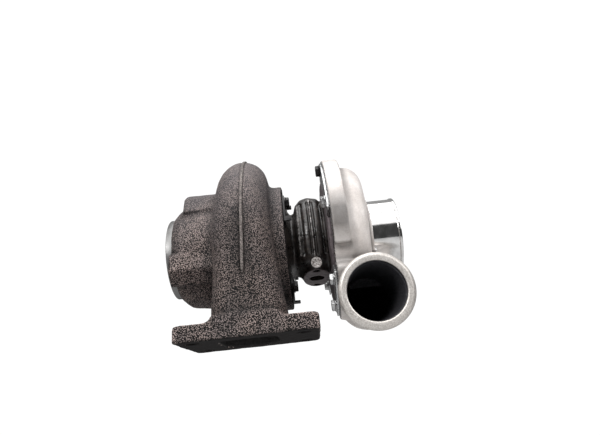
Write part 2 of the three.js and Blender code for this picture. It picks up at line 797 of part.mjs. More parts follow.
add("turbine_housing", turbineHousing(), SAND_CAST_IRON);
add("heat_shield", heatShield(), STEEL);
add("turbine_wheel_and_shaft", turbineWheelAndShaft(), NICKEL_ALLOY);
add("turbine_piston_ring", pistonRing(21.9, 23.1, 7.1, 8.4), STEEL);
add("bearing_housing", bearingHousing(), BLACK_CAST_IRON);
add("gallery_plug", galleryPlug(), STEEL);
add("turbine_bearing", floatingBearing(32.2, 41.2), BRONZE);
add("compressor_bearing", floatingBearing(49.8, 60.4), BRONZE);
add("turbine_bearing_outer_circlip", circlip(30.8), STEEL);
add("turbine_bearing_inner_circlip", circlip(41.7), STEEL);
add("compressor_bearing_circlip", circlip(48.4), STEEL);
add("thrust_collar", thrustCollar(), STEEL);
add("thrust_bearing", thrustBearing(), BRONZE);
add("flinger_sleeve", flingerSleeve(), STEEL);
add("compressor_piston_ring", pistonRing(73.7, 74.9, 5.1, 6.4), STEEL);
add("oil_deflector", oilDeflector(), STEEL);
add("seal_plate", sealPlate(), MACHINED_ALUMINIUM);
add("seal_plate_o_ring", oRing(74.2, 24.85, 0.65, SMALL_ROUND), RUBBER);
add("seal_plate_snap_ring", snapRing(), STEEL);
add("cover_o_ring", oRing(76.3, 61.45, 0.85, ROUND), RUBBER);
add("compressor_wheel", compressorWheel(), MACHINED_ALUMINIUM);
add("shaft_nut", shaftNut(), STEEL);
add("compressor_cover", compressorCover(), CAST_ALUMINIUM);

THRUST_SCREW_ANGLES.forEach((angle, i) => {
  add(`thrust_bearing_screw_${i + 1}`, thrustScrew(angle), STEEL);
});
TURBINE_BOLTS.angles.forEach((angle, i) => {
  add(`turbine_clamp_plate_${i + 1}`, turbineClamp(angle), BLACK_STEEL);
  add(`turbine_bolt_${i + 1}`, turbineBolt(angle), BLACK_STEEL);
});
COVER_CLAMPS.centres.forEach((centre, i) => {
  add(`cover_clamp_plate_${i + 1}`, coverClamp(centre, COVER_CLAMPS.spreads[i]), STEEL);
});
coverBoltAngles().forEach((angle, i) => {
  add(`cover_bolt_${i + 1}`, coverBolt(angle), STEEL);
});

export default turbo;
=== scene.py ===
"""A small oil-cooled turbocharger: the looks of every piece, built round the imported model.

Sizes are millimetres in the shaft's frame: X along the shaft towards the compressor, Z up, the
shaft on the X axis. Angles round the shaft are in degrees, 0 at the front, 90 at the top and
180 at the back. The castings are distance fields on a grid, negative inside, skinned at zero.
The machined pieces are turned, lofted or cut from plate.
"""

import itertools
import json
import math

import bmesh
import bpy
import numpy as np
from mathutils import Matrix, Vector


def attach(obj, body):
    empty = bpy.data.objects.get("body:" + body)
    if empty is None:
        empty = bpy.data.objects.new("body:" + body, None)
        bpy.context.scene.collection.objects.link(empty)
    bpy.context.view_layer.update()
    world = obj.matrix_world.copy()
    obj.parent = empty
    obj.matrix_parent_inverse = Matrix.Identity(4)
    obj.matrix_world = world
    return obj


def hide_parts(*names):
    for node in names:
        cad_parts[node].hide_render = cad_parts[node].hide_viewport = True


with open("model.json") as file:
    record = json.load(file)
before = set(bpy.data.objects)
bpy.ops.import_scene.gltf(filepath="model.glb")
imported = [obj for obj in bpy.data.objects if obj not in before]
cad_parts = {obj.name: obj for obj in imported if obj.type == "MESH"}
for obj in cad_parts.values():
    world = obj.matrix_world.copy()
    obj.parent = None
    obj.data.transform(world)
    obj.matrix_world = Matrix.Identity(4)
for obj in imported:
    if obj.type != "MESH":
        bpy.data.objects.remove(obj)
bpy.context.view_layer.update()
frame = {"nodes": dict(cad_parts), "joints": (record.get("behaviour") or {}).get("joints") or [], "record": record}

MM = 0.001
SHAFT = next(joint["pos_m"] for joint in frame["joints"] if joint["name"] == "rotor_spin")
SHAFT_SETBACK, SHAFT_HEIGHT = SHAFT[1] / MM, SHAFT[2] / MM
BOTTOM = -SHAFT_HEIGHT

# ---- Sizes ----------------------------------------------------------------------------------

FLANGE = dict(length=108, depth=86.5, thickness=12.9, corner=6, stud=5.25, stud_x=42, stud_y=29,
              nut_space=12)
PORT = dict(x=-1.5, half_length=22.5, half_depth=26, corner=9)
SCROLL = dict(end=330, reach=(85.5, 63), size=(24.5, 12), x=(-1.5, 6.5), wall=4.5, growth=0.72,
              reach_growth=1.35)
COLLAR = dict(left=-25, right=25, top=-69.3, back=-14)
NECK_FRONT = -84.3
RIDGE = dict(top=150, foot=-40, half_width=1.2, height=0.8, groove=1.2, x=(2.2, 3.4, 4.0),
             foot_x=0.5)
LEDGE = [(30, -4), (46.2, -8.5), (50.5, -23.5), (40.5, -35.5), (28, -30)]
PAD = [(22, 20), (38, 29.5), (40.5, 31.5), (33, 46.3), (22, 53), (0, 57.2), (-14, 55.5), (-12, 30)]
OUTLET = dict(face=-70.6, shoulder=-65, lip=36.6, bore=31.2)
BACK_FLANGE = dict(left=22, right=34, radius=57, seat=45.5, shoulder=25.5)
TURBINE = dict(tip=30, exducer=24.4, blades=9)
COMPRESSOR = dict(tip=29, inducer=20.5, blades=10)
TURBINE_BOLTS = dict(angles=[33, -57, -162, 138], radius=51.2)
TURBINE_CLAMP = dict(ahead=8, behind=25, tab=5, reach=6.3)
COVER_CLAMPS = dict(spans=[(-53, 12), (33, 20), (187, 15)], radius=69.3, beyond=7)
BOLT = dict(shank=3.0, hole=3.3, flange=5.3, hexagon=4.85, head=3.8, screw_in=7)
PLATE = 1.7
GAP = 0.3
DRAIN = dict(x=57.5, y=-2.5, z=-32.5, tilt=5, half_width=12.3, half_length=24.5, bore=6.65)
DRAIN_TURN = math.radians(DRAIN["tilt"])
DRAIN_BOLTS = dict(half_spacing=20, radius=3.1, depth=11)
OIL_FEED = dict(x=57, top=41.3, spot_face=9, thread=5.2)
PLUG = dict(x=57.8, y=-35.8, z=-26, tilt=20, radius=4.6)
RIM = dict(left=72.25, right=86.5, radius=66, lobe=76.9, seat=62.4, shoulder=80.5)
RIM_LOBES = [(-17, 106), (-76, -30), (160, 214)]
DELIVERY = dict(x=99.6, y=-74.2, z=-62.3, droop=4.2, bore=22.9, pipe=26, pipe_end=23.8, bead=29.8,
                length=76)
DROOP = math.radians(DELIVERY["droop"])
VOLUTE = dict(start=-30, end=270, x=(88.4, DELIVERY["x"]), middle=(53.5, 57), radius=(7.5, 20),
              wall=3.8, growth=1.4, shift_growth=1.24)
INLET = dict(face=134.35, spigot=34.8, lip=35.6, boss=109.4, bore=31)

# The drum's outline as (x, radius), and its flutes as (x, half width, floor radius). The thin
# fins between the flutes are given as (x, radius at the foot of the painted highlight on their edge).
DRUM = [(19.6, 0), (19.6, 11), (26.7, 13), (26.7, 45.1), (33.8, 45.1), (34.2, 37.6), (39, 30),
        (42, 31), (44.4, 38), (49, 42.6), (56, 44.5), (64.5, 42.6), (67.4, 39.6), (69.4, 40.5),
        (69.9, 56.6), (72.4, 56.9), (72.4, 62), (80.2, 62), (80.2, 0)]
FLUTES = dict(start=-31, end=52, fins=[(45.5, 38.2), (57.1, 43.3)], grooves=[
    (48.2, 1.9, 38.8), (55.4, 0.9, 41.4), (58.9, 1.1, 41.2), (65.8, 1.2, 38.3)])

# The stage, in metres.
CAMERA = dict(lens=29.34, place=(0.04628, -0.39675, -0.0427), yaw=-0.25, pitch=19.8, roll=6.35)
FLOOR = dict(height=-0.3, radius=1.1)
AIM = (0.02, 0, 0.08)
LIGHTS = dict(
    key=dict(place=(-0.45, -0.85, 0.45), size=(0.45, 0.35), power=4.8),
    right=dict(place=(0.7, -0.7, 0.35), size=(0.4, 0.4), power=2.5),
    front=dict(place=(0, -0.6, 0.85), size=(0.5, 0.3), power=1.5),
    top=dict(place=(0.05, 0, 1), size=(0.7, 0.6), power=3.0))


# ---- Fields ---------------------------------------------------------------------------------

def between(ends, share):
    """The value at a share of the way between two."""
    return ends[0] + (ends[1] - ends[0]) * share


def smooth_min(a, b, reach):
    """The two fields joined, with a fillet where they meet."""
    blend = np.clip(1 - np.abs(a - b) / reach, 0, None)
    return np.minimum(a, b) - blend * blend * reach / 4


def smooth_max(a, b, reach):
    """What the two fields share, with a rounded edge where they meet."""
    return -smooth_min(-a, -b, reach)


def polygon_distance(px, py, corners):
    """Signed distance from points to a closed outline, negative inside."""
    nearest = np.full(np.broadcast(px, py).shape, np.inf)
    inside = np.zeros(nearest.shape, bool)
    for (ax, ay), (bx, by) in zip(corners, corners[1:] + corners[:1]):
        ex, ey = bx - ax, by - ay
        along = np.clip(((px - ax) * ex + (py - ay) * ey) / (ex * ex + ey * ey), 0, 1)
        nearest = np.minimum(nearest, np.hypot(px - ax - along * ex, py - ay - along * ey))
        if ay != by:
            inside ^= ((ay > py) != (by > py)) & (px < ax + (py - ay) * ex / ey)
    return np.where(inside, -nearest, nearest)


class Block:
    """A block of space round a casting, sampled on a grid."""

    def __init__(self, low, high, step):
        axes = [np.arange(a, b + step, step, dtype=np.float32) for a, b in zip(low, high)]
        self.step = step
        self.low = np.array([axis[0] for axis in axes])
        self.x = axes[0][:, None, None]
        self.y = axes[1][None, :, None]
        self.z = axes[2][None, None, :]
        self.r = np.hypot(self.y, self.z)
        self.angle = np.degrees(np.arctan2(self.z, -self.y))

    def turned(self, outline):
        """A solid turned about the shaft, from its outline as (x, radius) from end to end."""
        fine = 0.25
        radii = np.arange(0, self.r.max() + 1, fine, dtype=np.float32)
        closed = [(outline[0][0], -9)] + outline + [(outline[-1][0], -9)]
        table = polygon_distance(self.x[:, :, 0], radii[None, :], closed).astype(np.float32)
        place = self.r[0] / fine
        index = place.astype(int)
        part = place - index
        return table[:, index] * (1 - part) + table[:, index + 1] * part

    def prism(self, corners, x0, x1):
        """A bar along the shaft, from its section's corners as (forward, up)."""
        section = polygon_distance(-self.y[0], self.z[0], corners).astype(np.float32)[None]
        return np.maximum(section, np.maximum(x0 - self.x, self.x - x1))

    def wedge(self, start, end):
        """The space between two angles round the shaft."""
        middle, half = (start + end) / 2, (end - start) / 2
        off = np.abs((self.angle - middle + 180) % 360 - 180) - half
        return self.r * np.sin(np.radians(np.clip(off, -90, 90)))

    def ring(self, x0, x1, inner, outer):
        """A ring of rectangular section round the shaft."""
        across = np.maximum(x0 - self.x, self.x - x1)
        return np.maximum(across, np.maximum(inner - self.r, self.r - outer))

    def rod(self, start, end, radius, end_radius=None):
        """A straight rod between two points, which may taper."""
        start, end = np.array(start, float), np.array(end, float)
        length = np.linalg.norm(end - start)
        run = (end - start) / length
        dx, dy, dz = self.x - start[0], self.y - start[1], self.z - start[2]
        along = dx * run[0] + dy * run[1] + dz * run[2]
        out = np.sqrt(np.maximum(dx * dx + dy * dy + dz * dz - along * along, 0))
        slope = ((end_radius or radius) - radius) / length
        return np.maximum(out - radius - slope * along, np.abs(along - length / 2) - length / 2)

    def lumps(self, size, seed):
        """Smooth random lumps of a size, from about -0.5 to 0.5."""
        random = np.random.default_rng(seed)
        weights = []
        for axis in (self.x, self.y, self.z):
            place = (axis.ravel() - axis.min()) / size + 1
            t = np.abs(place[:, None] - np.arange(int(place.max()) + 3)[None, :])
            near = 2 / 3 - t * t + t ** 3 / 2
            far = np.clip(2 - t, 0, None) ** 3 / 6
            weights.append(np.where(t < 1, near, far).astype(np.float32))
        lattice = random.uniform(-1, 1, [w.shape[1] for w in weights]).astype(np.float32)
        return np.einsum("ai,bj,ck,ijk->abc", *weights, lattice, optimize=True)


def value_at(block, field, points):
    """A field's value at points inside the block."""
    place = (points - block.low) / block.step
    place = np.clip(place, 0, np.array(field.shape) - 1.001)
    index = place.astype(int)
    part = place - index
    total = 0
    for corner in itertools.product((0, 1), repeat=3):
        weight = np.prod(np.where(corner, part, 1 - part), 1)
        total = total + weight * field[tuple((index + corner).T)]
    return total


def soften(field):
    """Rounds every edge of a field by about a grid step."""
    for axis in range(3):
        padded = np.pad(field, [(1, 1) if i == axis else (0, 0) for i in range(3)], "edge")
        parts = [np.take(padded, range(i, i + field.shape[axis]), axis) for i in range(3)]
        field = (parts[0] + 2 * parts[1] + parts[2]) / 4
    return field


# ---- Skins: points, faces and a finish number for each face ---------------------------------

class Skin:
    def __init__(self, points, faces, finish=0):
        self.points = np.array(points, float)
        self.faces = faces
        self.finish = np.full(len(faces), finish)
        self.cavity = np.zeros(len(self.points))

    def middles(self):
        """The middle of each face, as x, y, z and distance from the shaft."""
        first = np.array([[face[0], face[2]] for face in self.faces])
        x, y, z = self.points[first].mean(1).T
        return x, y, z, np.hypot(y, z)

    def paint(self, where, finish):
        self.finish[where] = finish

    def moved(self, turn, shift):
        """Turns the points by a matrix, given as its rows, then shifts them."""
        self.points = self.points @ np.array(turn).T + shift
        return self


def joined(*skins):
    """One skin that holds several."""
    whole = Skin(np.concatenate([skin.points for skin in skins]), [])
    counts = np.cumsum([0] + [len(skin.points) for skin in skins])
    for skin, shift in zip(skins, counts):
        whole.faces += [[corner + int(shift) for corner in face] for face in skin.faces]
    whole.finish = np.concatenate([skin.finish for skin in skins])
    whole.cavity = np.concatenate([skin.cavity for skin in skins])
    return whole


def skin_of(block, field):
    """The zero surface of a field, one point to each grid cell that it passes through."""
    inside = field < 0
    size = [n - 1 for n in field.shape]
    corners = list(itertools.product((0, 1), repeat=3))
    count = sum(inside[i:i + size[0], j:j + size[1], k:k + size[2]].astype(np.uint8)
                for i, j, k in corners)
    active = (count > 0) & (count < 8)
    cells = np.argwhere(active)
    number = np.full(active.shape, -1, np.int32)
    number[active] = np.arange(len(cells))
    total, hits = np.zeros((len(cells), 3)), np.zeros(len(cells))
    for a, b in itertools.combinations(corners, 2):
        if sum(abs(p - q) for p, q in zip(a, b)) != 1:
            continue
        start, end = field[tuple((cells + a).T)], field[tuple((cells + b).T)]
        crossed = np.nonzero((start < 0) != (end < 0))[0]
        share = (start[crossed] / (start[crossed] - end[crossed]))[:, None]
        total[crossed] += np.array(a) + share * (np.array(b) - np.array(a))
        hits[crossed] += 1
    points = block.low + (cells + total / hits[:, None]) * block.step
    faces = []
    for axis in range(3):
        u, v = (axis + 1) % 3, (axis + 2) % 3
        low = np.take(inside, range(inside.shape[axis] - 1), axis)
        high = np.take(inside, range(1, inside.shape[axis]), axis)
        edge = np.argwhere(low != high)
        edge = edge[(edge[:, u] > 0) & (edge[:, v] > 0)]
        edge = edge[(edge[:, u] < size[u]) & (edge[:, v] < size[v])]
        turned_over = high[tuple(edge.T)]
        ring = []
        for du, dv in ((1, 1), (0, 1), (0, 0), (1, 0)):
            cell = edge.copy()
            cell[:, u] -= du
            cell[:, v] -= dv
            ring.append(number[tuple(cell.T)])
        quad = np.stack(ring, 1)
        quad[turned_over] = quad[turned_over][:, ::-1]
        faces.append(quad)
    return Skin(points, np.concatenate(faces).tolist())


def shade_hollows(skin, block, field, reaches=(3, 7, 14)):
    """Notes how far each point sits in a hollow, from 0 in the open to 1 deep inside."""
    steps = np.eye(3) * block.step
    slope = np.stack([value_at(block, field, skin.points + step)
                      - value_at(block, field, skin.points - step) for step in steps], 1)
    slope /= np.linalg.norm(slope, axis=1)[:, None] + 1e-9
    for reach in reaches:
        clear = value_at(block, field, skin.points + slope * reach) / reach
        skin.cavity += np.clip(1 - clear, 0, 1) / len(reaches)
    return skin


def hollowed_skin(block, field, hollows):
    """The skin of a casting's field, with its hollows cut out and noted."""
    for hollow in hollows:
        field = np.maximum(field, -hollow)
    return shade_hollows(skin_of(block, field), block, field)


def rounded(outline, radius, steps=4):
    """A closed outline with its corners rounded. A corner on the axis stays as it is."""
    corners = np.array(outline, float)
    made = []
    for before, corner, after in zip(np.roll(corners, 1, 0), corners, np.roll(corners, -1, 0)):
        to_before, to_after = before - corner, after - corner
        lengths = np.linalg.norm(to_before), np.linalg.norm(to_after)
        cosine = np.dot(to_before, to_after) / lengths[0] / lengths[1]
        if corner[1] == 0 or cosine < -0.995:
            made.append(corner)
            continue
        reach = radius / math.tan(math.acos(np.clip(cosine, -1, 1)) / 2)
        first = corner + to_before / lengths[0] * min(reach, lengths[0] * 0.48)
        last = corner + to_after / lengths[1] * min(reach, lengths[1] * 0.48)
        for t in np.linspace(0, 1, steps):
            made.append((1 - t) ** 2 * first + 2 * t * (1 - t) * corner + t * t * last)
    return np.array(made)


def grid_faces(rows, columns, rows_meet):
    """The faces between rows of points, each row a closed loop."""
    last = rows if rows_meet else rows - 1
    return [[row * columns + i, row * columns + (i + 1) % columns,
             (row + 1) % rows * columns + (i + 1) % columns, (row + 1) % rows * columns + i]
            for row in range(last) for i in range(columns)]


def loft(sections, finish=0, rows_meet=False):
    """A skin through a row of loops that have the same number of points."""
    sections = np.array(sections, float)
    rows, columns = sections.shape[:2]
    faces = grid_faces(rows, columns, rows_meet)
    if not rows_meet:
        faces += [list(range(columns)), list(range((rows - 1) * columns, rows * columns))]
    return Skin(sections.reshape(-1, 3), faces, finish)


def polar(x, r, degrees):
    """Points from their place along the shaft, distance from it and angle round it."""
    angle = np.radians(degrees)
    return np.stack(np.broadcast_arrays(x, -r * np.cos(angle), r * np.sin(angle)), -1)


def turned(outline, radius=0.3, facets=96, sweep=None, finish=0):
    """A closed outline of (x, radius) points turned round the shaft, or part of the way round."""
    x, r = rounded(outline, radius).T
    start, end = sweep or (0, 360)
    angles = np.linspace(start, end, facets + 1)
    if not sweep:
        angles = angles[:-1]
    return loft([polar(x, r, angle) for angle in angles], finish, rows_meet=not sweep)


def smooth_rows(stations, count):
    """A smooth line of rows through a few stations, by Catmull-Rom."""
    stations = np.array(stations, float)
    knots = np.vstack([2 * stations[0] - stations[1], stations, 2 * stations[-1] - stations[-2]])
    place = np.linspace(0, len(stations) - 1, count)
    index = np.minimum(place.astype(int), len(stations) - 2)
    t = (place - index)[:, None]
    a, b, c, d = (knots[index + i] for i in range(4))
    return b + t * ((c - a) + t * ((2 * a - 5 * b + 4 * c - d) + t * (3 * b - a - 3 * c + d))) / 2


def plate(outer, holes, x0, x1, bevel=0.25):
    """A plate across the shaft with bevelled edges, from loops of (forward, up) points."""
    curve = bpy.data.curves.new("plate", "CURVE")
    curve.dimensions, curve.fill_mode = "2D", "BOTH"
    curve.extrude = ((x1 - x0) / 2 - bevel) * MM
    curve.bevel_depth, curve.offset, curve.bevel_resolution = bevel * MM, -bevel * MM, 1
    for loop in [outer, *holes]:
        spline = curve.splines.new("POLY")
        spline.points.add(len(loop) - 1)
        spline.use_cyclic_u = True
        for point, (forward, up) in zip(spline.points, loop):
            point.co = (forward * MM, up * MM, 0, 1)
    holder = bpy.data.objects.new("plate", curve)
    mesh = bpy.data.meshes.new_from_object(holder)
    points = np.array([tuple(vertex.co) for vertex in mesh.vertices]) / MM
    forward, up, across = points.T
    made = Skin(np.stack([across + (x0 + x1) / 2, -forward, up], -1),
                [list(polygon.vertices) for polygon in mesh.polygons])
    bpy.data.objects.remove(holder)
    bpy.data.meshes.remove(mesh)
    return made


def arc(radius, start, end, count):
    """Points along an arc about the origin, between two angles in degrees."""
    angles = np.radians(np.linspace(start, end, count))
    return [(radius * math.cos(a), radius * math.sin(a)) for a in angles]


def circle(forward, up, radius, count=40):
    return [(forward + px, up + py) for px, py in arc(radius, 0, 360, count + 1)[:-1]]


# ---- Finishes -------------------------------------------------------------------------------

class Nodes:
    """A tree of shader nodes."""

    def __init__(self, tree):
        self.tree = tree

    def link(self, value, socket):
        if isinstance(value, bpy.types.NodeSocket):
            self.tree.links.new(value, socket)
        else:
            socket.default_value = value

    def make(self, kind, inputs, output, **settings):
        node = self.tree.nodes.new("ShaderNode" + kind)
        for name, value in settings.items():
            setattr(node, name, value)
        for name, value in inputs.items():
            self.link(value, node.inputs[name])
        return node.outputs[output]

    def range(self, value, from_low, from_high, low, high, **settings):
        inputs = {"Value": value, "From Min": from_low, "From Max": from_high}
        return self.make("MapRange", {**inputs, "To Min": low, "To Max": high}, "Result", **settings)


class Finish(Nodes):
    """A principled material whose textures lie in the object's own space."""

    def __init__(self, name, roughness, metallic, **more):
        self.material = bpy.data.materials.new(name)
        self.material.use_nodes = True
        super().__init__(self.material.node_tree)
        self.shader = self.tree.nodes["Principled BSDF"]
        self.space = self.make("TexCoord", {}, "Object")
        self.give("Roughness", roughness)
        self.give("Metallic", metallic)
        for socket, value in more.items():
            self.give(socket.replace("_", " "), value)

    def give(self, socket, value):
        self.link(value, self.shader.inputs[socket])

    def noise(self, size, detail=2.0, roughness=0.5):
        """Noise with features of a size in mm."""
        inputs = {"Vector": self.space, "Scale": 1 / (size * MM)}
        return self.make("TexNoise", {**inputs, "Detail": detail, "Roughness": roughness}, "Fac")

    def pebbles(self, size):
        """Close-packed grains of a size in mm: 0 at the middle of a grain, more between them."""
        inputs = {"Vector": self.space, "Scale": 1 / (size * MM)}
        return self.make("TexVoronoi", inputs, "Distance", feature="F1")

    def shaded_in_hollows(self, colour, depth=0.2):
        """The colour, darker in the hollows as painted shade."""
        hollow = self.make("Attribute", {}, "Fac", attribute_name="cavity")
        return self.times(colour, self.ramp(hollow, (0.05, (1, 1, 1)), (0.6, grey(depth))))

    def tool_marks(self, pitch):
        """Fine rings left by a lathe, a pitch apart in mm. A wave has 20 / tau bands to a unit."""
        inputs = {"Vector": self.space, "Scale": math.tau / (20 * pitch * MM)}
        inputs.update({"Distortion": 0.4, "Detail": 1.0})
        return self.make("TexWave", inputs, "Fac", bands_direction="X")

    def fade(self, start, end, low, high):
        """A value that goes from low to high between two heights in mm above the flange's face."""
        height = self.make("SeparateXYZ", {"Vector": self.space}, "Z")
        return self.range(height, start * MM, end * MM, low, high)

    def ramp(self, value, *stops):
        """A colour for each value, from (place, colour) stops."""
        node = self.tree.nodes.new("ShaderNodeValToRGB")
        elements = node.color_ramp.elements
        while len(elements) < len(stops):
            elements.new(0.5)
        for element, (place, colour) in zip(elements, stops):
            element.position = place
            element.color = (*colour, 1)
        self.link(value, node.inputs["Fac"])
        return node.outputs["Color"]

    def mixed(self, colour, other, share, kind="MIX"):
        """The colour with a share of another mixed in."""
        inputs = {0: share, 6: colour, 7: other}
        return self.make("Mix", inputs, 2, data_type="RGBA", blend_type=kind)

    def times(self, colour, other):
        return self.mixed(colour, other, 1.0, "MULTIPLY")

    def scaled(self, colour, by):
        return self.make("VectorMath", {0: colour, "Scale": by}, "Vector", operation="SCALE")

    def bump(self, height, depth, before=None):
        """Relief of a depth in mm."""
        inputs = {"Height": height, "Distance": depth * MM, "Strength": 1.0}
        if before is not None:
            inputs["Normal"] = before
        return self.make("Bump", inputs, "Normal")


def grey(value, warmth=0.0):
    return (value * (1 + warmth), value, value * (1 - warmth))


def plain(name, metallic, roughness, texture, stops, relief=0):
    """A material whose colour, gloss and relief all follow one noise."""
    first, last = roughness
    finish = Finish(name, first, metallic)
    grain = finish.noise(*texture)
    finish.give("Base Color", finish.ramp(grain, *stops))
    if first != last:
        finish.give("Roughness", finish.range(grain, 0.3, 0.7, first, last))
    if relief:
        finish.give("Normal", finish.bump(grain, relief))
    return finish.material


def sand_cast_iron():
    """Coarse grain with dark pits, with painted light that brightens the flange and a painted sheen that fades the
    grain into grey towards the crest.
    """
    finish = Finish("sand_cast_iron", 0.6, 0.35)
    grain = finish.pebbles(0.85)
    patches = finish.noise(26, 2.0)
    colour = finish.ramp(
        grain, (0.32, (0.78, 0.64, 0.585)), (0.42, (0.26, 0.21, 0.195)),
        (0.50, (0.018, 0.014, 0.013)), (0.80, (0.005, 0.004, 0.004)))
    tint = finish.ramp(patches, (0.30, (0.38, 0.38, 0.40)), (0.70, (0.64, 0.61, 0.60)))
    # Painted light: the flange is coloured 2.7 times brighter, fading out over 4 mm above its top.
    flange_top = FLANGE["thickness"] + 2
    tint = finish.scaled(tint, finish.fade(flange_top, flange_top + 4, 2.7, 1.0))
    # Painted sheen: from 70 mm to 150 mm up, the grain fades into an even grey.
    colour = finish.mixed(colour, (0.36, 0.335, 0.34, 1), finish.fade(70, 150, 0.0, 0.6))
    # Painted shade darkens the colour in the hollows.
    finish.give("Base Color", finish.shaded_in_hollows(finish.times(colour, tint), 0.12))
    finish.give("Roughness", finish.range(grain, 0.2, 0.6, 0.5, 0.8))
    coarse = finish.bump(finish.noise(4.5, 2.0), 0.4)
    finish.give("Normal", finish.bump(grain, -0.25, coarse))
    return finish.material


def ground_iron():
    """The ridge, dressed flat on a grinder."""
    finish = Finish("ground_iron", 0.5, 0.5)
    grain = finish.noise(1.1, 3.0)
    streaks = finish.noise(6, 2.0)
    colour = finish.ramp(grain, (0.35, (0.04, 0.034, 0.032)), (0.65, (0.24, 0.21, 0.195)))
    tint = finish.ramp(streaks, (0.3, grey(0.75)), (0.7, grey(1.2)))
    finish.give("Base Color", finish.times(colour, tint))
    finish.give("Normal", finish.bump(grain, 0.2))
    return finish.material


def shaded_milled_iron():
    """Faces milled or faced on the iron castings, coloured near black as painted shade, such as the flange's
    shaded underside.
    """
    finish = Finish("shaded_milled_iron", 0.5, 0.1, Specular_IOR_Level=0.05)
    bloom = finish.noise(9, 3.0)
    finish.give("Base Color", finish.ramp(
        bloom, (0.3, (0.010, 0.009, 0.009)), (0.7, (0.028, 0.025, 0.025))))
    finish.give("Roughness", finish.range(bloom, 0.3, 0.7, 0.6, 0.8))
    finish.give("Normal", finish.bump(finish.noise(0.8, 2.0), 0.03))
    return finish.material


def turned_metal(name, value, roughness, pitch, warmth=0.01):
    """Bright lathe-turned metal with its tool marks."""
    finish = Finish(name, roughness, 1.0)
    bloom = finish.noise(7, 3.0)
    finish.give("Base Color", finish.ramp(
        bloom, (0.3, grey(value * 0.82, warmth)), (0.7, grey(value * 1.1, warmth))))
    finish.give("Roughness", finish.range(bloom, 0.3, 0.7, roughness * 0.8, roughness * 1.3))
    finish.give("Normal", finish.bump(finish.tool_marks(pitch), 0.006))
    return finish.material


def oiled_black_iron():
    """The bearing housing's skin, black and wet with oil in places."""
    finish = Finish("oiled_black_iron", 0.3, 0.1, Specular_IOR_Level=0.8)
    grain = finish.noise(2.2, 3.0, 0.6)
    patches = finish.noise(9, 2.0)
    colour = finish.ramp(
        grain, (0.35, (0.006, 0.005, 0.005)), (0.6, (0.022, 0.018, 0.016)),
        (0.75, (0.075, 0.058, 0.048)))
    tint = finish.ramp(patches, (0.35, grey(0.7)), (0.7, (1.6, 1.45, 1.35)))
    finish.give("Base Color", finish.times(colour, tint))
    finish.give("Roughness", finish.range(patches, 0.3, 0.7, 0.2, 0.5))
    coarse = finish.bump(finish.noise(5, 2.0), 0.35)
    finish.give("Normal", finish.bump(grain, 0.12, coarse))
    return finish.material


def cast_aluminium():
    """The cover's cast skin, coloured darker towards its top as painted shade."""
    finish = Finish("cast_aluminium", 0.5, 0.12)
    grain = finish.noise(0.8, 3.0)
    patches = finish.noise(15, 3.0, 0.6)
    colour = finish.ramp(
        patches, (0.3, (0.74, 0.68, 0.64)), (0.5, (0.86, 0.80, 0.765)), (0.72, (0.93, 0.89, 0.86)))
    # Painted shade: the colour darkens to 0.72 of itself from 125 mm to 163 mm up.
    colour = finish.scaled(colour, finish.fade(125, 163, 1.0, 0.72))
    tint = finish.ramp(grain, (0.3, grey(0.86)), (0.7, grey(1.06)))
    # Painted shade darkens the colour in the hollows.
    finish.give("Base Color", finish.shaded_in_hollows(finish.times(colour, tint), 0.25))
    finish.give("Roughness", finish.range(patches, 0.3, 0.7, 0.45, 0.6))
    coarse = finish.bump(finish.noise(3.5, 2.0), 0.16)
    finish.give("Normal", finish.bump(grain, 0.07, coarse))
    return finish.material


def bronze():
    finish = Finish("bronze", 0.3, 1.0)
    bloom = finish.noise(3, 3.0)
    finish.give("Base Color", finish.ramp(
        bloom, (0.3, (0.42, 0.27, 0.11)), (0.7, (0.66, 0.45, 0.20))))
    finish.give("Normal", finish.bump(finish.tool_marks(0.25), 0.004))
    return finish.material


CAST_IRON = sand_cast_iron()
GROUND_IRON = ground_iron()
SHADED_MILLED_IRON = shaded_milled_iron()
BLACK_IRON = oiled_black_iron()
CAST_ALUMINIUM = cast_aluminium()
BRONZE = bronze()
TURNED_STEEL = turned_metal("turned_steel", 0.62, 0.24, 0.35)
TURNED_IRON = turned_metal("turned_iron", 0.25, 0.42, 0.5)
POLISHED_ALUMINIUM = turned_metal("polished_aluminium", 0.86, 0.09, 0.5)
MILLED_ALUMINIUM = turned_metal("milled_aluminium", 0.74, 0.26, 0.5)

# Cored passages of the iron keep their dark foundry scale. The cover's passages are coloured near black as painted
# shade.
SCALED_IRON = plain("scaled_iron", 0.1, (0.7, 0.7), (1.5, 3.0), [
    (0.3, grey(0.008)), (0.7, (0.032, 0.029, 0.028))], 0.3)
PASSAGE_SHADE_ALUMINIUM = plain("passage_shade_aluminium", 0.2, (0.6, 0.6), (1.5, 3.0), [
    (0.3, (0.030, 0.030, 0.036)), (0.7, (0.080, 0.078, 0.086))], 0.2)
# Painted highlights: the edges of the thin fins are coloured bright.
FIN_HIGHLIGHT_IRON = plain("fin_highlight_iron", 0.6, (0.45, 0.3), (2.5, 3.0), [
    (0.35, (0.05, 0.045, 0.042)), (0.55, (0.42, 0.40, 0.39)), (0.7, (0.75, 0.72, 0.70))])
DRAIN_IRON = plain("drain_face_iron", 0.3, (0.55, 0.55), (3, 4.0, 0.6), [
    (0.3, (0.085, 0.070, 0.074)), (0.7, (0.20, 0.168, 0.176))], 0.04)
# The mouth of the delivery pipe is turned and blasted.
BLASTED_ALUMINIUM = plain("blasted_aluminium", 0.6, (0.3, 0.5), (1.0, 4.0, 0.65), [
    (0.3, (0.50, 0.465, 0.43)), (0.55, (0.74, 0.70, 0.66)), (0.75, (0.86, 0.83, 0.80))], 0.09)
PLATED_STEEL = plain("plated_steel", 1.0, (0.22, 0.42), (2.0, 3.0), [
    (0.3, (0.40, 0.40, 0.41)), (0.7, (0.72, 0.72, 0.71))], 0.03)
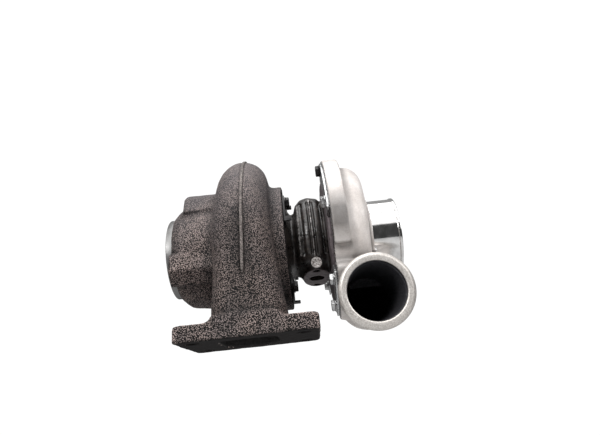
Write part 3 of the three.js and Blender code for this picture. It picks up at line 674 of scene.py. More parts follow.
# The end of the sealing plug is peened and dull.
MOTTLED_STEEL = plain("mottled_steel", 0.3, (0.55, 0.55), (1.6, 3.0, 0.6), [
    (0.36, (0.16, 0.13, 0.12)), (0.47, (0.50, 0.46, 0.44)), (0.62, (0.80, 0.77, 0.75))], 0.2)
BLACK_STEEL = plain("black_steel", 0.6, (0.28, 0.5), (2.5, 3.0), [
    (0.3, (0.008, 0.008, 0.009)), (0.7, (0.035, 0.033, 0.033))], 0.03)
NICKEL_ALLOY = plain("nickel_alloy", 0.9, (0.32, 0.5), (1.2, 3.0), [
    (0.3, (0.16, 0.14, 0.125)), (0.7, (0.36, 0.33, 0.30))], 0.05)
RUBBER = plain("seal_rubber", 0.0, (0.5, 0.7), (1.5, 3.0), [
    (0.3, grey(0.012)), (0.7, grey(0.028))])

BODY_OF = {node: body for body, nodes in frame["record"]["behaviour"]["bodies"].items()
           for node in nodes}


def place(node, skin, slot, *materials, sharp=32):
    """Makes a skin the visible piece that stands for a CAD node."""
    mesh = bpy.data.meshes.new(node + "_skin")
    points = (skin.points + (0, SHAFT_SETBACK, SHAFT_HEIGHT)) * MM
    mesh.from_pydata(points, [], skin.faces)
    for material in materials:
        mesh.materials.append(material)
    mesh.polygons.foreach_set("material_index", skin.finish.astype(np.int32))
    cavity = mesh.attributes.new("cavity", "FLOAT", "POINT")
    cavity.data.foreach_set("value", skin.cavity.astype(np.float32))
    made = bmesh.new()
    made.from_mesh(mesh)
    bmesh.ops.remove_doubles(made, verts=made.verts, dist=1e-6)
    bmesh.ops.recalc_face_normals(made, faces=made.faces)
    made.to_mesh(mesh)
    made.free()
    mesh.shade_smooth()
    mesh.set_sharp_from_angle(angle=math.radians(sharp))
    piece = add_to_scene(node + "_piece", mesh)
    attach(piece, BODY_OF[node])
    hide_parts(node)
    return piece


# The finish numbers of the three castings, in the order of their materials. 0 is the cast skin.
TURBINE_FINISH = dict(milled=1, turned=2, ground=3, cored=4)
BEARING_FINISH = dict(face=1, milled=2, fin_highlight=3)
COVER_FINISH = dict(milled=1, cored=2, polished=3, blasted=4)


# ---- Turbine housing ------------------------------------------------------------------------

def scroll_place(round_share):
    """The scroll's section at a share of its way round: x, distance from the shaft, radius."""
    grown = round_share ** SCROLL["growth"]
    radius = between(SCROLL["size"], grown)
    reach = between(SCROLL["reach"], round_share ** SCROLL["reach_growth"])
    return between(SCROLL["x"], grown), reach - radius, radius


def rounded_box(dx, dy, half_x, half_y, corner):
    """The distance to a rectangle with round corners."""
    px, py = np.abs(dx) - (half_x - corner), np.abs(dy) - (half_y - corner)
    outside = np.hypot(np.maximum(px, 0), np.maximum(py, 0))
    return outside + np.minimum(np.maximum(px, py), 0) - corner


def scroll_round(block):
    """The scroll's section at the angle of each point of a block."""
    return scroll_place(np.clip((block.angle % 360) / SCROLL["end"], 0, 1))


def scroll_field(block, wall):
    x, r, radius = scroll_round(block)
    return np.hypot(block.x - x, block.r - r) - (radius - wall)


def neck_field(block, depths, left, right, front, back, corner):
    """The straight neck below the scroll's mouth, from stations going down."""
    def at(values):
        return np.interp(-block.z, depths, values).astype(np.float32)
    half_x, half_y = (at(right) - at(left)) / 2, (at(back) - at(front)) / 2
    dx = block.x - (at(right) + at(left)) / 2
    dy = block.y - (at(back) + at(front)) / 2
    return rounded_box(dx, dy, half_x, half_y, at(corner))


def flow_field(block, scroll, neck):
    """The scroll above the shaft's level, and the neck with the scroll's tail below it."""
    below = (block.z < 0) & (block.y < 0)
    return np.where(below, smooth_min(scroll, neck, 6), scroll)


MOUTH = scroll_place(0)


def neck_front(heights):
    """The neck's front, below the scroll's mouth."""
    return np.interp(-heights, [0, 50], [-(MOUTH[1] + MOUTH[2]), NECK_FRONT])


def ridge_x(angles):
    return np.interp(angles, [0, 30, RIDGE["top"]], RIDGE["x"])


def ridge_foot_x(heights):
    return np.interp(heights, [RIDGE["foot"], 0], [RIDGE["foot_x"], RIDGE["x"][0]])


def ridge_line(count):
    """Points along the crest of the scroll and down the neck, with the way out from each."""
    arc_count = int(count * 0.8)
    angles = np.linspace(RIDGE["top"], 0, arc_count)
    _, r, radius = scroll_place(angles / SCROLL["end"])
    crest = polar(ridge_x(angles), r + radius, angles)
    out = polar(0, 1, angles)
    heights = np.linspace(0, RIDGE["foot"], count - arc_count + 1)[1:]
    lower = np.stack([ridge_foot_x(heights), neck_front(heights), heights], -1)
    return np.vstack([crest, lower]), np.vstack([out, np.tile([0, -1, 0], (len(lower), 1))])


def turbine_casting():
    block = Block((-68, -89, -89), (57, 78, 84), 1.1)
    front = -SHAFT_SETBACK - FLANGE["depth"] / 2
    neck = neck_field(
        block, [0, 25, 50, 66], [-26, -24.5, -26.5, -28], [23, 25, 28, 30],
        [-85.5, -85.2, NECK_FRONT, NECK_FRONT], [-36.5, -30, -20, -12], [24.4, 23, 22, 22])
    flow = flow_field(block, scroll_field(block, 0), neck)
    core = block.turned([
        (OUTLET["shoulder"], 0), (OUTLET["shoulder"], 39), (-60.7, 43), (-56.5, 46), (-40, 48.5),
        (BACK_FLANGE["left"], 50), (BACK_FLANGE["left"], BACK_FLANGE["radius"]),
        (BACK_FLANGE["right"], BACK_FLANGE["radius"]), (BACK_FLANGE["right"], 0)])
    pad = soften(block.prism(PAD, -54.3, -10))
    ledge = soften(block.prism(LEDGE, -66.3, -10))
    flange_top = BOTTOM + FLANGE["thickness"]
    flange = rounded_box(block.x, block.y + SHAFT_SETBACK, FLANGE["length"] / 2,
                         FLANGE["depth"] / 2, FLANGE["corner"])
    flange = smooth_max(flange, block.z - flange_top, 2)
    flange = smooth_min(flange, collar_field(block, front), 6)
    flange = np.maximum(flange, BOTTOM - block.z)
    outside = smooth_min(smooth_min(core, pad, 1.5), ledge, 2)
    outside = smooth_min(outside, flow, 7)
    outside = smooth_min(outside, flange, 2.5)
    outside = np.maximum(np.maximum(outside, front - block.y), BOTTOM - block.z)
    outside = soften(outside)
    outside = outside + 0.35 * block.lumps(5, 3) + 0.3 * block.lumps(2.4, 4)
    outside = np.maximum(outside, ridge_groove(block))
    whole = np.maximum(outside, BOTTOM - block.z)
    above = block.z > flange_top + FLANGE["nut_space"]
    whole = np.maximum(whole, np.where(above, block.x - BACK_FLANGE["right"], -9))
    whole = np.maximum(whole, OUTLET["shoulder"] - block.x)
    skin = hollowed_skin(block, whole, turbine_hollows(block))
    x, y, z, r = skin.middles()
    milled = TURBINE_FINISH["milled"]
    # The flange's underside takes the near-black milled finish, painted shade.
    skin.paint(z < BOTTOM + 0.35, milled)
    skin.paint((x > BACK_FLANGE["right"] - 0.4) & (r < 60) & (z > -60), milled)
    skin.paint((r < 46) & (x > BACK_FLANGE["shoulder"] - 0.5), milled)
    port = rounded_box(x - PORT["x"], y + SHAFT_SETBACK, PORT["half_length"] + 0.8,
                       PORT["half_depth"] + 0.8, PORT["corner"])
    skin.paint((port < 0) & (z < -2) & (z > BOTTOM + 0.4) & (r > 40), TURBINE_FINISH["cored"])
    skin.paint((r < OUTLET["bore"] + 0.7) & (x < 8), milled)
    stud_x = np.abs(np.abs(x) - FLANGE["stud_x"])
    stud_y = np.abs(np.abs(y + SHAFT_SETBACK) - FLANGE["stud_y"])
    skin.paint((np.hypot(stud_x, stud_y) < FLANGE["stud"] + 0.5) & (z < -70), milled)
    return skin


def collar_field(block, front):
    """The low step on the flange that the neck stands on."""
    middle, half = (COLLAR["left"] + COLLAR["right"]) / 2, (COLLAR["right"] - COLLAR["left"]) / 2
    depth = (COLLAR["back"] - front) / 2
    field = rounded_box(block.x - middle, block.y - front - depth, half, depth, 3)
    return smooth_max(field, block.z - COLLAR["top"], 1.5)


def ridge_groove(block):
    """Keeps a shallow channel open for the ridge, as a field that is positive inside it."""
    reach = RIDGE["half_width"] + RIDGE["groove"]
    _, r, radius = scroll_round(block)
    depth = 0.8
    upper = np.maximum(np.abs(block.x - ridge_x(block.angle)) - reach, r + radius - depth - block.r)
    upper = np.maximum(upper, block.r - 100)
    upper = np.maximum(upper, block.wedge(0, RIDGE["top"]))
    ends = np.maximum(RIDGE["foot"] - block.z, 0)
    lower = np.hypot(block.x - ridge_foot_x(block.z), ends) - reach
    lower = np.maximum(lower, block.y - (neck_front(block.z) + depth))
    lower = np.maximum(lower, block.z)
    return -np.minimum(upper, lower)


def turbine_hollows(block):
    shroud = TURBINE["exducer"] + 0.8
    face, bore = OUTLET["face"], OUTLET["bore"]
    yield block.turned([
        (face - 1, bore), (face + 4, bore), (-16, shroud), (1, shroud), (7, shroud + 2.8),
        (9, TURBINE["tip"] + 1), (9, 50.5), (17.6, 50.5), (17.6, 41), (BACK_FLANGE["shoulder"], 41),
        (BACK_FLANGE["shoulder"], BACK_FLANGE["seat"]),
        (BACK_FLANGE["right"] + 3, BACK_FLANGE["seat"])])
    middle = -SHAFT_SETBACK
    x, half_length, half_depth = PORT["x"], PORT["half_length"], PORT["half_depth"]
    duct = neck_field(
        block, [0, 20, 45, 73], [-21.5, -21.5, -22.5, x - half_length],
        [18.5, 18.5, 19, x + half_length], [-81, -80.5, -76, middle - half_depth],
        [-41, -38, -27, middle + half_depth], [19.9, 17, 12, PORT["corner"]])
    yield flow_field(block, scroll_field(block, SCROLL["wall"]), duct)
    for side, end in itertools.product((-1, 1), repeat=2):
        at = (side * FLANGE["stud_x"], end * FLANGE["stud_y"] - SHAFT_SETBACK)
        top = BOTTOM + FLANGE["thickness"] + FLANGE["nut_space"]
        yield block.rod((*at, BOTTOM - 3), (*at, top), FLANGE["stud"])
    for angle in TURBINE_BOLTS["angles"]:
        start = polar(BACK_FLANGE["right"] - BOLT["screw_in"] - 1, TURBINE_BOLTS["radius"], angle)
        yield block.rod(start, start + (12, 0, 0), BOLT["hole"])


def outlet_lip():
    face, bore, lip = OUTLET["face"], OUTLET["bore"], OUTLET["lip"]
    inside = OUTLET["shoulder"] + 0.2
    outline = [(face, bore), (face, lip), (inside, lip), (inside, lip - 1), (inside + 2, lip - 1),
               (inside + 2, bore + 1), (inside, bore + 1), (inside, bore)]
    return turned(outline, 0.5, 128, finish=TURBINE_FINISH["turned"])


def parting_ridge():
    """The rib left where the moulds met, along the crest of the scroll."""
    line, out = ridge_line(110)
    half, height = RIDGE["half_width"], RIDGE["height"]
    profile = rounded([(-half, -2.5), (half, -2.5), (half, height), (-half, height)], 0.5, 4)
    sections = []
    for index, (point, way) in enumerate(zip(line, out)):
        left = len(line) - 1 - index
        shrink = min(1, 0.35 + 0.3 * min(index, left))
        wander = 0.12 * math.sin(index * 0.9) + 0.08 * math.sin(index * 2.3)
        sections.append([point + (side * shrink + wander * 0.4, 0, 0)
                         + way * (up * (shrink if up > 0 else 1)) for side, up in profile])
    return loft(sections, finish=TURBINE_FINISH["ground"])


def turbine_housing():
    skin = joined(turbine_casting(), outlet_lip(), parting_ridge())
    place("turbine_housing", skin, "sand_cast_iron", CAST_IRON, SHADED_MILLED_IRON, TURNED_IRON,
          GROUND_IRON, SCALED_IRON, sharp=50)


# ---- Bearing housing ------------------------------------------------------------------------

def drain_point(across, out):
    """A point from its place across the drain face and its distance out of it."""
    return np.array([
        DRAIN["x"],
        DRAIN["y"] + across * math.cos(DRAIN_TURN) - out * math.sin(DRAIN_TURN),
        DRAIN["z"] - across * math.sin(DRAIN_TURN) - out * math.cos(DRAIN_TURN)])


def drain_axes(y, z):
    """How far points lie across the drain face, and out of it."""
    dy, dz = y - DRAIN["y"], z - DRAIN["z"]
    across = dy * math.cos(DRAIN_TURN) - dz * math.sin(DRAIN_TURN)
    return across, -dy * math.sin(DRAIN_TURN) - dz * math.cos(DRAIN_TURN)


def oval(dx, dy, half_x, half_y):
    """About the distance to an ellipse."""
    share = np.sqrt((dx / half_x) ** 2 + (dy / half_y) ** 2) + 1e-6
    slope = np.sqrt((dx / half_x ** 2) ** 2 + (dy / half_y ** 2) ** 2) + 1e-6
    return share * (share - 1) / slope


def flute_field(block):
    """Grooves round the front of the drum, which leave fins and broad ribs between them."""
    grooves = None
    for x, half, floor in FLUTES["grooves"]:
        depth = np.maximum(floor + half - block.r, 0)
        groove = np.hypot(block.x - x, depth) - half
        grooves = groove if grooves is None else np.minimum(grooves, groove)
    return smooth_max(grooves, block.wedge(FLUTES["start"], FLUTES["end"]), 5)


def bearing_casting():
    block = Block((17, -65, -65), (83, 65, 65), 0.7)
    drum = block.turned(DRUM)
    across, out = drain_axes(block.y, block.z)
    flare = np.maximum(-out - 6, 0)
    pad = oval(block.x - DRAIN["x"], across, DRAIN["half_width"],
               DRAIN["half_length"] + 0.15 * flare)
    pad = np.maximum(np.maximum(pad, out), -24 - out)
    narrow = (block.x > 34.5) & (block.x < 69.7)
    body = np.where(narrow, smooth_max(drum, out + 5, 8), drum)
    outside = smooth_min(soften(body), pad, 7)
    outside = smooth_max(outside, -flute_field(block), 0.8)
    outside = soften(outside) + 0.3 * block.lumps(4, 11) + 0.12 * block.lumps(2, 12)
    whole = np.maximum(outside, np.where(narrow, out, -9))
    whole = np.maximum(whole, block.x - 80.2)
    skin = hollowed_skin(block, whole, bearing_hollows(block))
    x, y, z, r = skin.middles()
    face, milled = BEARING_FINISH["face"], BEARING_FINISH["milled"]
    _, out = drain_axes(y, z)
    skin.paint((np.abs(x - DRAIN["x"]) < 14) & (out > -0.5), face)
    skin.paint((r < 30) & ((x > 60) | (x < 30)), milled)
    skin.paint(x > 72.5, milled)
    skin.paint((z > OIL_FEED["top"] - 0.5) & (np.hypot(x - OIL_FEED["x"], y) < 9.3), milled)
    skin.paint((x < 27.4) & (r < 45), milled)
    angle = np.degrees(np.arctan2(z, -y))
    fluted = (angle > FLUTES["start"] + 2) & (angle < FLUTES["end"] + 4)
    # A painted highlight runs along the crest of each fin.
    for fin, foot in FLUTES["fins"]:
        skin.paint(fluted & (np.abs(x - fin) < 0.65) & (r > foot), BEARING_FINISH["fin_highlight"])
    skin.paint((x > 69.4) & (x < 72.6) & (r > 43), face)
    return skin


def bearing_hollows(block):
    yield block.turned([
        (15, 8.8), (25, 8.8), (25, 12), (29, 12), (29, 7.6), (60.7, 7.6), (60.7, 10), (63.3, 10),
        (63.3, 19.6), (68, 19.6), (68, 24), (69.8, 24), (69.8, 26), (79, 26), (79, 29.8),
        (83, 29.8)])
    yield block.rod(drain_point(0, 1), drain_point(0, -14), DRAIN["bore"])
    for side in (-1, 1):
        across = side * DRAIN_BOLTS["half_spacing"]
        yield block.rod(drain_point(across, 1), drain_point(across, -DRAIN_BOLTS["depth"]),
                        DRAIN_BOLTS["radius"])
    x, top = OIL_FEED["x"], OIL_FEED["top"]
    yield block.rod((x, 0, top), (x, 0, top + 6), OIL_FEED["spot_face"])
    yield block.rod((x, 0, top - 14), (x, 0, top + 1), OIL_FEED["thread"])
    yield block.rod(plug_point(-7.5), plug_point(8), PLUG["radius"] + GAP)
    yield np.maximum(np.maximum(np.abs(block.x - 54.5) - 12, np.abs(block.y + 1) - 11),
                     np.abs(block.z + 19) - 7)


def plug_point(out):
    """A point on the gallery plug's axis."""
    turn = math.radians(PLUG["tilt"])
    return np.array([PLUG["x"], PLUG["y"] - out * math.cos(turn), PLUG["z"] - out * math.sin(turn)])


def bearing_housing():
    place("bearing_housing", bearing_casting(), "black_cast_iron", BLACK_IRON, DRAIN_IRON,
          SHADED_MILLED_IRON, FIN_HIGHLIGHT_IRON, sharp=50)


def gallery_plug():
    """A plug pressed and peened into the end of an oil gallery."""
    radius = PLUG["radius"]
    outline = [(-6.5, 0), (-6.5, radius), (1.6, radius), (1.6, radius - 1.6), (1.1, radius - 2.2),
               (1.1, 0)]
    skin = turned(outline, 0.4, 48)
    out = plug_point(1) - plug_point(0)
    side = np.array([1.0, 0, 0])
    turn = np.stack([out, side, np.cross(out, side)], 1)
    place("gallery_plug", skin.moved(turn, plug_point(0)), "steel", MOTTLED_STEEL)


# ---- Compressor cover -----------------------------------------------------------------------

def delivery_point(back):
    """A point on the delivery pipe's axis, at a distance back from its mouth."""
    return np.array([DELIVERY["x"], DELIVERY["y"] + back * math.cos(DROOP),
                     DELIVERY["z"] + back * math.sin(DROOP)])


def volute_field(block, wall):
    """The cover's volute, which widens and moves out as it goes round."""
    span = VOLUTE["end"] - VOLUTE["start"]
    turn = (block.angle - VOLUTE["start"]) % 360
    share = np.clip(turn / span, 0, 1)
    radius = between(VOLUTE["radius"], share ** VOLUTE["growth"]) + wall
    x = between(VOLUTE["x"], share ** VOLUTE["shift_growth"])
    field = np.hypot(block.x - x, block.r - between(VOLUTE["middle"], share)) - radius
    return np.maximum(field, block.wedge(VOLUTE["start"], VOLUTE["end"]))


def cover_casting():
    block = Block((70, -79, -92), (126, 82, 82), 1.05)
    left, right = RIM["left"], RIM["right"]
    body = block.turned([
        (left, 0), (left, RIM["radius"]), (right, RIM["radius"]), (right + 1.5, 60),
        (INLET["boss"] - 9, 60), (INLET["boss"] - 5.8, 56.5), (INLET["boss"] - 5.8, 38.7),
        (INLET["boss"], 38.7), (INLET["boss"], 0)])
    outside = smooth_min(body, volute_field(block, VOLUTE["wall"]), 6)
    for start, end in RIM_LOBES:
        lobe = smooth_max(block.ring(left, right, 50, RIM["lobe"]), block.wedge(start, end), 2.5)
        outside = smooth_min(outside, lobe, 3)
    pipe = block.rod(delivery_point(6), delivery_point(DELIVERY["length"]), DELIVERY["pipe"],
                     DELIVERY["pipe_end"])
    outside = smooth_min(outside, pipe, 7)
    outside = soften(outside) + 0.22 * block.lumps(5, 21) + 0.12 * block.lumps(2.3, 22)
    whole = np.maximum(outside, left - block.x)
    skin = hollowed_skin(block, whole, cover_hollows(block))
    x, y, z, r = skin.middles()
    milled, cored = COVER_FINISH["milled"], COVER_FINISH["cored"]
    skin.paint(x < left + 0.45, milled)
    skin.paint((r < RIM["seat"] + 0.6) & (x < RIM["shoulder"] + 0.6), milled)
    skin.paint((x > INLET["boss"] - 0.45) & (r < 40), milled)
    # The volute's inside takes the near-black passage finish, painted shade.
    inside = volute_field(block, 1.0)
    cells = [np.clip(((v - low) / block.step).astype(int), 0, n - 1)
             for v, low, n in zip((x, y, z), block.low, inside.shape)]
    skin.paint(inside[tuple(cells)] < 0, cored)
    # The delivery bore takes the near-black passage finish too, painted shade.
    back = (y - DELIVERY["y"]) * math.cos(DROOP) + (z - DELIVERY["z"]) * math.sin(DROOP)
    off = np.hypot(x - DELIVERY["x"],
                   (z - DELIVERY["z"]) * math.cos(DROOP) - (y - DELIVERY["y"]) * math.sin(DROOP))
    skin.paint((off < DELIVERY["bore"] + 0.8) & (back < DELIVERY["length"]) & (back > 0), cored)
    return skin


def cover_hollows(block):
    tip, inducer = COMPRESSOR["tip"], COMPRESSOR["inducer"]
    yield block.turned([
        (RIM["left"] - 3, RIM["seat"]), (RIM["shoulder"], RIM["seat"]), (RIM["shoulder"], 52),
        (85.3, 52), (85.3, tip + 0.5), (86, 27.4), (88, 24.2), (91.4, inducer + 1.8),
        (96, inducer + 0.7), (97, inducer + 3), (113, inducer + 8)])
    yield volute_field(block, 0)
    yield block.rod(delivery_point(-1), delivery_point(DELIVERY["length"] - 1),
                    DELIVERY["bore"] - 0.3, VOLUTE["radius"][1])
    for angle in cover_bolt_angles():
        start = polar(RIM["left"] - 3, COVER_CLAMPS["radius"], angle)
        yield block.rod(start, start + (BOLT["screw_in"] + 4, 0, 0), BOLT["hole"])


def cover_bolt_angles():
    return [centre + side * spread for centre, spread in COVER_CLAMPS["spans"] for side in (-1, 1)]


def inlet_spigot():
    """The turned inlet with its hose bead, and the bell inside it down to the wheel."""
    face, spigot, lip, bore = INLET["face"], INLET["spigot"], INLET["lip"], INLET["bore"]
    throat = COMPRESSOR["inducer"] + 0.7
    outline = [
        (INLET["boss"] - 3, spigot), (face - 2.6, spigot), (face - 2.2, lip), (face, lip),
        (face, bore), (face - 5, bore), (122, 28.5), (110, throat + 1.7), (104, throat),
        (97, throat), (97, throat + 4), (INLET["boss"] - 3, throat + 8.5)]
    return turned(outline, 0.45, 144, finish=COVER_FINISH["polished"])


def delivery_mouth():
    """The rolled bead round the mouth of the delivery pipe, turned about the pipe's own axis."""
    bore, pipe, bead = DELIVERY["bore"], DELIVERY["pipe"], DELIVERY["bead"]
    outline = [(0, bore), (0, bead - 2.6), (1.2, bead - 0.9), (3, bead), (5, bead - 0.9),
               (7.2, pipe + 0.2), (11, pipe - 0.2), (11, bore + 0.6), (7, bore)]
    skin = turned(outline, 1.2, 144, finish=COVER_FINISH["blasted"])
    x, _, _, r = skin.middles()
    # The mouth's bore takes the near-black passage finish, painted shade.
    skin.paint((r < bore + 0.35) & (x > 1.2), COVER_FINISH["cored"])
    turn = [(0, 1, 0), (math.cos(DROOP), 0, math.sin(DROOP)), (math.sin(DROOP), 0, -math.cos(DROOP))]
    return skin.moved(turn, delivery_point(0))


def compressor_cover():
    skin = joined(cover_casting(), inlet_spigot(), delivery_mouth())
    place("compressor_cover", skin, "cast_aluminium", CAST_ALUMINIUM, MILLED_ALUMINIUM,
          PASSAGE_SHADE_ALUMINIUM, POLISHED_ALUMINIUM, BLASTED_ALUMINIUM, sharp=50)


# ---- Rotor ----------------------------------------------------------------------------------

def blade(stations, root, tip, turn, along=30, across=7):
    """A thin blade through stations of (hub x, hub r, tip x, tip r, angle)."""
    sections = []
    for hub_x, hub_r, tip_x, tip_r, angle in smooth_rows(stations, along):
        share = np.linspace(0, 1, across)
        x = hub_x + (tip_x - hub_x) * share
        r = hub_r + (tip_r - hub_r) * share
        half = np.degrees((root + (tip - root) * share) / 2 / r)
        one = polar(x, r, angle + turn - half)
        other = polar(x, r, angle + turn + half)[::-1]
        sections.append(np.vstack([one, other]))
    return loft(sections)


def turbine_wheel():
    tip, exducer, blades = TURBINE["tip"], TURBINE["exducer"], TURBINE["blades"]
    hub = smooth_rows([(-11.6, 4.4), (-10, 6.2), (-4, 8), (6, 11.5), (12, 17), (15.5, 24),
                       (16.2, 27.4)], 40)
    outline = [(-12.4, 0), (-12.4, 3.6)] + [tuple(point) for point in hub] + [
        (17.5, 27.5), (17.8, 8.1), (21.6, 8.1), (21.6, 6.6), (23.4, 6.6), (23.4, 8.1),
        (25.6, 8.1), (27, 4.5), (60.8, 4.5), (60.8, 3.2), (111.2, 3.2), (112, 2.4), (112, 0)]
    body = turned(outline, 0.25, 72)
    stations = [(15.9, 23, 16.3, tip, 0), (14.6, 19, 10.5, tip - 0.4, 0), (10, 13, 8.6, 27.4, -3),
                (1, 8.4, 2.5, exducer, -12), (-5, 6.6, -4, exducer, -24),
                (-10.4, 5, -9, exducer, -38)]
    vanes = [blade(stations, 2.0, 1.0, 360 / blades * i) for i in range(blades)]
    body.paint(body.middles()[0] > 18, 1)
    place("turbine_wheel_and_shaft", joined(body, *vanes), "nickel_alloy", NICKEL_ALLOY,
          TURNED_STEEL)


def compressor_wheel():
    tip, inducer, blades = COMPRESSOR["tip"], COMPRESSOR["inducer"], COMPRESSOR["blades"]
    hub = smooth_rows([(103, 6.4), (96, 7.8), (90, 11), (85, 16.5), (82, 23), (80.6, tip)], 40)
    outline = [(79.4, 3.5), (103, 3.5)] + [tuple(point) for point in hub] + [(79.4, tip)]
    body = turned(outline, 0.25, 96)
    full = [(101.6, 5.6, 101, inducer, 0), (96, 6.8, 95.5, inducer + 0.2, 18),
            (90, 9.8, 90.3, inducer + 1.6, 35), (83.4, 19, 86, 25.4, 52), (80.4, tip, 84.9, tip, 62)]
    vanes = [blade(full[1:] if i % 2 else full, 1.5, 0.7, 360 / blades * i) for i in range(blades)]
    place("compressor_wheel", joined(body, *vanes), "machined_aluminium", MILLED_ALUMINIUM)


def hexagon(angles, radius):
    """The distance to a hexagon's side at each angle, for its corner radius."""
    off = np.radians((angles + 30) % 60 - 30)
    return radius * math.cos(math.pi / 6) / np.cos(off)


def bolt_like(stations, corner_radius, rows_meet=False):
    """A piece turned about X whose stations are (x, radius, whether the hexagon limits it)."""
    facets = 72
    angles = np.arange(facets) * 360 / facets
    sections = []
    for x, radius, hexed in stations:
        r = np.full(facets, float(radius))
        if hexed:
            r = np.minimum(r, hexagon(angles, corner_radius))
        sections.append(polar(x, r, angles))
    return loft(sections, rows_meet=rows_meet)


def shaft_nut():
    chamfer = [(108.6 - drop, 6 - out, True) for drop, out in ((1.1, 0), (0.7, 0.2), (0.35, 0.5),
                                                                (0, 1.0))]
    stations = [(103.3, 3.5, False), (103.3, 6.0, False), (103.6, 6.2, False), (104.4, 6.2, False),
                (104.7, 5.9, False), (104.9, 6, True)] + chamfer + [
                (108.6, 3.9, False), (108.2, 3.5, False)]
    place("shaft_nut", bolt_like(stations, 6, rows_meet=True), "steel", PLATED_STEEL)


# ---- Bolts and clamp plates -----------------------------------------------------------------

def bolt_skin(seat, away, radius, angle, turn):
    """A flanged hexagon bolt on a seat. Its head points away, 1 or -1 along the shaft."""
    reach = PLATE + BOLT["screw_in"]
    head, hexed, flange, shank = BOLT["head"], BOLT["hexagon"], BOLT["flange"], BOLT["shank"]
    stations = [
        (-reach, 0.01, False), (-reach, shank - 0.7, False), (-reach + 0.7, shank, False),
        (0, shank, False), (0, flange - 0.4, False), (0.3, flange, False), (0.75, flange, False),
        (1.25, hexed - 0.1, False), (1.35, hexed, True), (head - 0.75, hexed, True),
        (head - 0.45, hexed - 0.12, True), (head - 0.2, hexed - 0.32, True),
        (head, hexed - 0.65, True), (head, 3.3, False), (head - 0.3, 3.0, False),
        (head - 0.35, 0.01, False)]
    skin = bolt_like(stations, hexed)
    way = Matrix.Rotation(math.radians(turn), 3, "X") @ Matrix.Scale(away, 3, (1, 0, 0))
    return skin.moved(way, polar(seat, radius, angle))


def sector_plate(x0, x1, inner, outer, start, end, hole_radius, holes):
    """A curved clamp plate with bolt holes, between two angles."""
    loop = arc(outer, start, end, 28) + arc(inner, end, start, 24)
    loop = [tuple(point) for point in rounded(loop, 1.6, 5)]
    cuts = [circle(*arc(hole_radius, angle, angle, 1)[0], BOLT["hole"]) for angle in holes]
    return plate(loop, cuts, x0, x1)


def turbine_clamps():
    x0 = BACK_FLANGE["right"] + GAP
    seat = x0 + PLATE + GAP
    radius = TURBINE_BOLTS["radius"]
    for number, angle in enumerate(TURBINE_BOLTS["angles"], 1):
        start, end = angle - TURBINE_CLAMP["behind"], angle + TURBINE_CLAMP["ahead"]
        skin = sector_plate(x0, x0 + PLATE, 41.2, 55, start, end, radius, [angle])
        tab = turned(box_outline(x0 + 0.4, x0 + TURBINE_CLAMP["reach"], 53.3, 55), 0.5, 6,
                     sweep=(start + 0.4, start + TURBINE_CLAMP["tab"]))
        place(f"turbine_clamp_plate_{number}", joined(skin, tab), "black_steel", BLACK_STEEL)
        bolt = bolt_skin(seat, 1, radius, angle, 17 * number)
        place(f"turbine_bolt_{number}", bolt, "black_steel", BLACK_STEEL)


def cover_clamps():
    x1 = RIM["left"] - GAP
    seat = x1 - PLATE - GAP
    radius = COVER_CLAMPS["radius"]
    for number, (centre, spread) in enumerate(COVER_CLAMPS["spans"], 1):
        half = spread + COVER_CLAMPS["beyond"]
        skin = sector_plate(x1 - PLATE, x1, 57.4, 75, centre - half, centre + half, radius,
                            [centre - spread, centre + spread])
        place(f"cover_clamp_plate_{number}", skin, "plated_steel", PLATED_STEEL)
    for number, angle in enumerate(cover_bolt_angles(), 1):
        bolt = bolt_skin(seat, -1, radius, angle, 23 * number)
        material = BLACK_STEEL if 30 < angle < 120 else PLATED_STEEL
        place(f"cover_bolt_{number}", bolt, "plated_steel", material)


# ---- Small pieces inside --------------------------------------------------------------------

def box_outline(x0, x1, inner, outer):
    return [(x0, inner), (x0, outer), (x1, outer), (x1, inner)]


def ring_piece(node, slot, material, outline, radius=0.15, **more):
    place(node, turned(outline, radius, **more), slot, material)


def o_ring(node, x, radius, section):
    angles = np.linspace(0, 2 * math.pi, 17)[:-1]
    outline = [(x + section * math.cos(a), radius + section * math.sin(a)) for a in angles]
    ring_piece(node, "seal_rubber", RUBBER, outline, 0.01)


def inner_rings():
    for name, start, end in (("turbine_bearing", 32.2, 41.2), ("compressor_bearing", 49.8, 60.4)):
        ring_piece(name, "bronze", BRONZE, box_outline(start, end, 4.8, 7.2), 0.4, facets=64)
    for name, x in (("turbine_bearing_outer_circlip", 30.8), ("turbine_bearing_inner_circlip", 41.7),
                    ("compressor_bearing_circlip", 48.4)):
        ring_piece(name, "steel", TURNED_STEEL, box_outline(x, x + 0.9, 6.4, 8.3), sweep=(-78, 258))
    ring_piece("turbine_piston_ring", "steel", TURNED_STEEL, box_outline(21.9, 23.1, 7.1, 8.4),
               sweep=(-88, 268))
    ring_piece("compressor_piston_ring", "steel", TURNED_STEEL, box_outline(73.7, 74.9, 5.1, 6.4),
               sweep=(-88, 268))
    ring_piece("seal_plate_snap_ring", "steel", TURNED_STEEL, box_outline(77.1, 78.3, 22.8, 26.7),
               sweep=(-80, 260))
    o_ring("seal_plate_o_ring", 74.2, 24.85, 0.65)
    o_ring("cover_o_ring", 76.3, 61.45, 0.85)


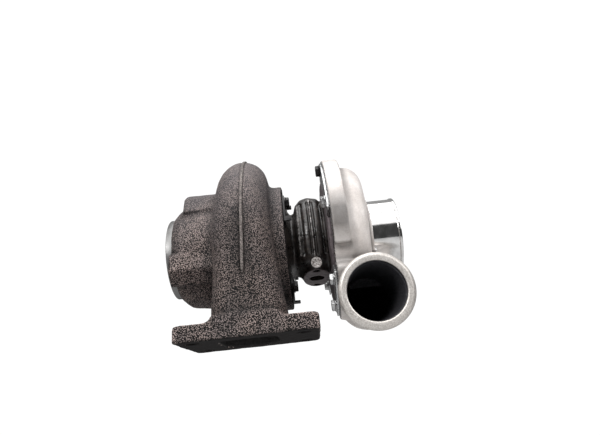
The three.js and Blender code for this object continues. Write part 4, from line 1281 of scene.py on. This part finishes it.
def inner_turnings():
    ring_piece("heat_shield", "steel", TURNED_STEEL, [
        (18.1, 10.8), (18.1, 39.8), (25.8, 40.6), (25.8, 45.2), (26.4, 45.2), (26.4, 39.8),
        (18.8, 39), (18.8, 10.8)], 0.6)
    ring_piece("thrust_collar", "steel", TURNED_STEEL, [
        (61.1, 3.5), (67.2, 3.5), (67.2, 5.3), (63.3, 5.3), (63.3, 9.2), (61.1, 9.2)])
    ring_piece("flinger_sleeve", "steel", TURNED_STEEL, [
        (67.5, 3.5), (79.1, 3.5), (79.1, 6.1), (75.2, 6.1), (75.2, 4.7), (73.4, 4.7), (73.4, 6.1),
        (69.3, 6.1), (69.3, 9.2), (67.5, 9.2)])
    ring_piece("seal_plate", "machined_aluminium", MILLED_ALUMINIUM, [
        (71.3, 6.8), (76.8, 6.8), (76.8, 25.3), (75.5, 25.3), (75.5, 24), (72.9, 24), (72.9, 25.3),
        (71.3, 25.3)], 0.25)


def carried_over():
    """The CAD pieces that are right as they are keep their shape and get a finish."""
    finishes = {"thrust_bearing": BRONZE, "thrust_bearing_screw_1": TURNED_STEEL,
                "thrust_bearing_screw_2": TURNED_STEEL, "oil_deflector": TURNED_STEEL}
    for node, material in finishes.items():
        mesh = frame["nodes"][node].data
        mesh.materials.clear()
        mesh.materials.append(material)


# ---- Camera, floor and light ----------------------------------------------------------------

def add_to_scene(name, data):
    piece = bpy.data.objects.new(name, data)
    bpy.context.scene.collection.objects.link(piece)
    return piece


def add_camera():
    camera = bpy.data.cameras.new("camera")
    camera.lens = CAMERA["lens"]
    camera.clip_start = 0.01
    yaw = Matrix.Rotation(math.radians(CAMERA["yaw"]), 3, "Z")
    pitch = Matrix.Rotation(math.radians(CAMERA["pitch"]), 3, "X")
    roll = Matrix.Rotation(math.radians(CAMERA["roll"]), 3, "Y")
    right, forward, up = (yaw @ pitch @ roll).col
    turn = Matrix((right, up, -forward)).transposed()
    piece = add_to_scene("camera", camera)
    piece.matrix_world = Matrix.Translation(CAMERA["place"]) @ turn.to_4x4()
    bpy.context.scene.camera = piece


def add_floor():
    radius, height = FLOOR["radius"], FLOOR["height"]
    floor = bpy.data.meshes.new("floor")
    points = [(px, py, height) for px, py in circle(0, 0, radius, 64)]
    floor.from_pydata(points, [], [list(range(len(points)))])
    finish = Finish("floor", 0.8, 0.0)
    tone = finish.noise(400, 2.0)
    finish.give("Base Color", finish.ramp(tone, (0.3, grey(0.48)), (0.7, grey(0.52))))
    floor.materials.append(finish.material)
    add_to_scene("floor", floor)


def add_light(name, place, size, power):
    """A soft rectangular light that faces the object."""
    lamp = bpy.data.lights.new(name, "AREA")
    lamp.shape = "RECTANGLE"
    lamp.size, lamp.size_y = size
    lamp.energy = power
    piece = add_to_scene(name, lamp)
    piece.rotation_euler = (Vector(AIM) - Vector(place)).to_track_quat("-Z", "Y").to_euler()
    piece.location = place


def add_world():
    """A room lit from above and in front and dark at eye level, which the camera sees white."""
    world = bpy.data.worlds.new("room")
    world.use_nodes = True
    room = Nodes(world.node_tree)
    ray = room.make("TexCoord", {}, "Generated")
    y, z = (room.make("SeparateXYZ", {"Vector": ray}, axis) for axis in "YZ")
    soft = dict(interpolation_type="SMOOTHSTEP")
    near = room.range(y, 0.1, -0.2, 0.0, 1.0, **soft)
    high = room.range(z, 0.36, 0.44, 0.0, 1.0, **soft)
    front = room.range(high, 0.0, 1.0, 0.05, 1.3)
    back = room.range(high, 0.0, 1.0, 0.06, 0.35)
    light = room.make("Mix", {0: near, 2: back, 3: front}, 0)
    camera_ray = room.make("LightPath", {}, "Is Camera Ray")
    backdrop = world.node_tree.nodes["Background"]
    room.link(room.make("Mix", {0: camera_ray, 2: light, 3: 1.05}, 0), backdrop.inputs["Strength"])
    backdrop.inputs["Color"].default_value = (1, 1, 1, 1)
    bpy.context.scene.world = world


def main():
    bpy.context.scene.view_settings.view_transform = "Standard"
    turbine_housing()
    bearing_housing()
    gallery_plug()
    compressor_cover()
    turbine_wheel()
    compressor_wheel()
    shaft_nut()
    turbine_clamps()
    cover_clamps()
    inner_rings()
    inner_turnings()
    carried_over()
    add_camera()
    add_floor()
    add_world()
    for name, light in LIGHTS.items():
        add_light(name, **light)


main()
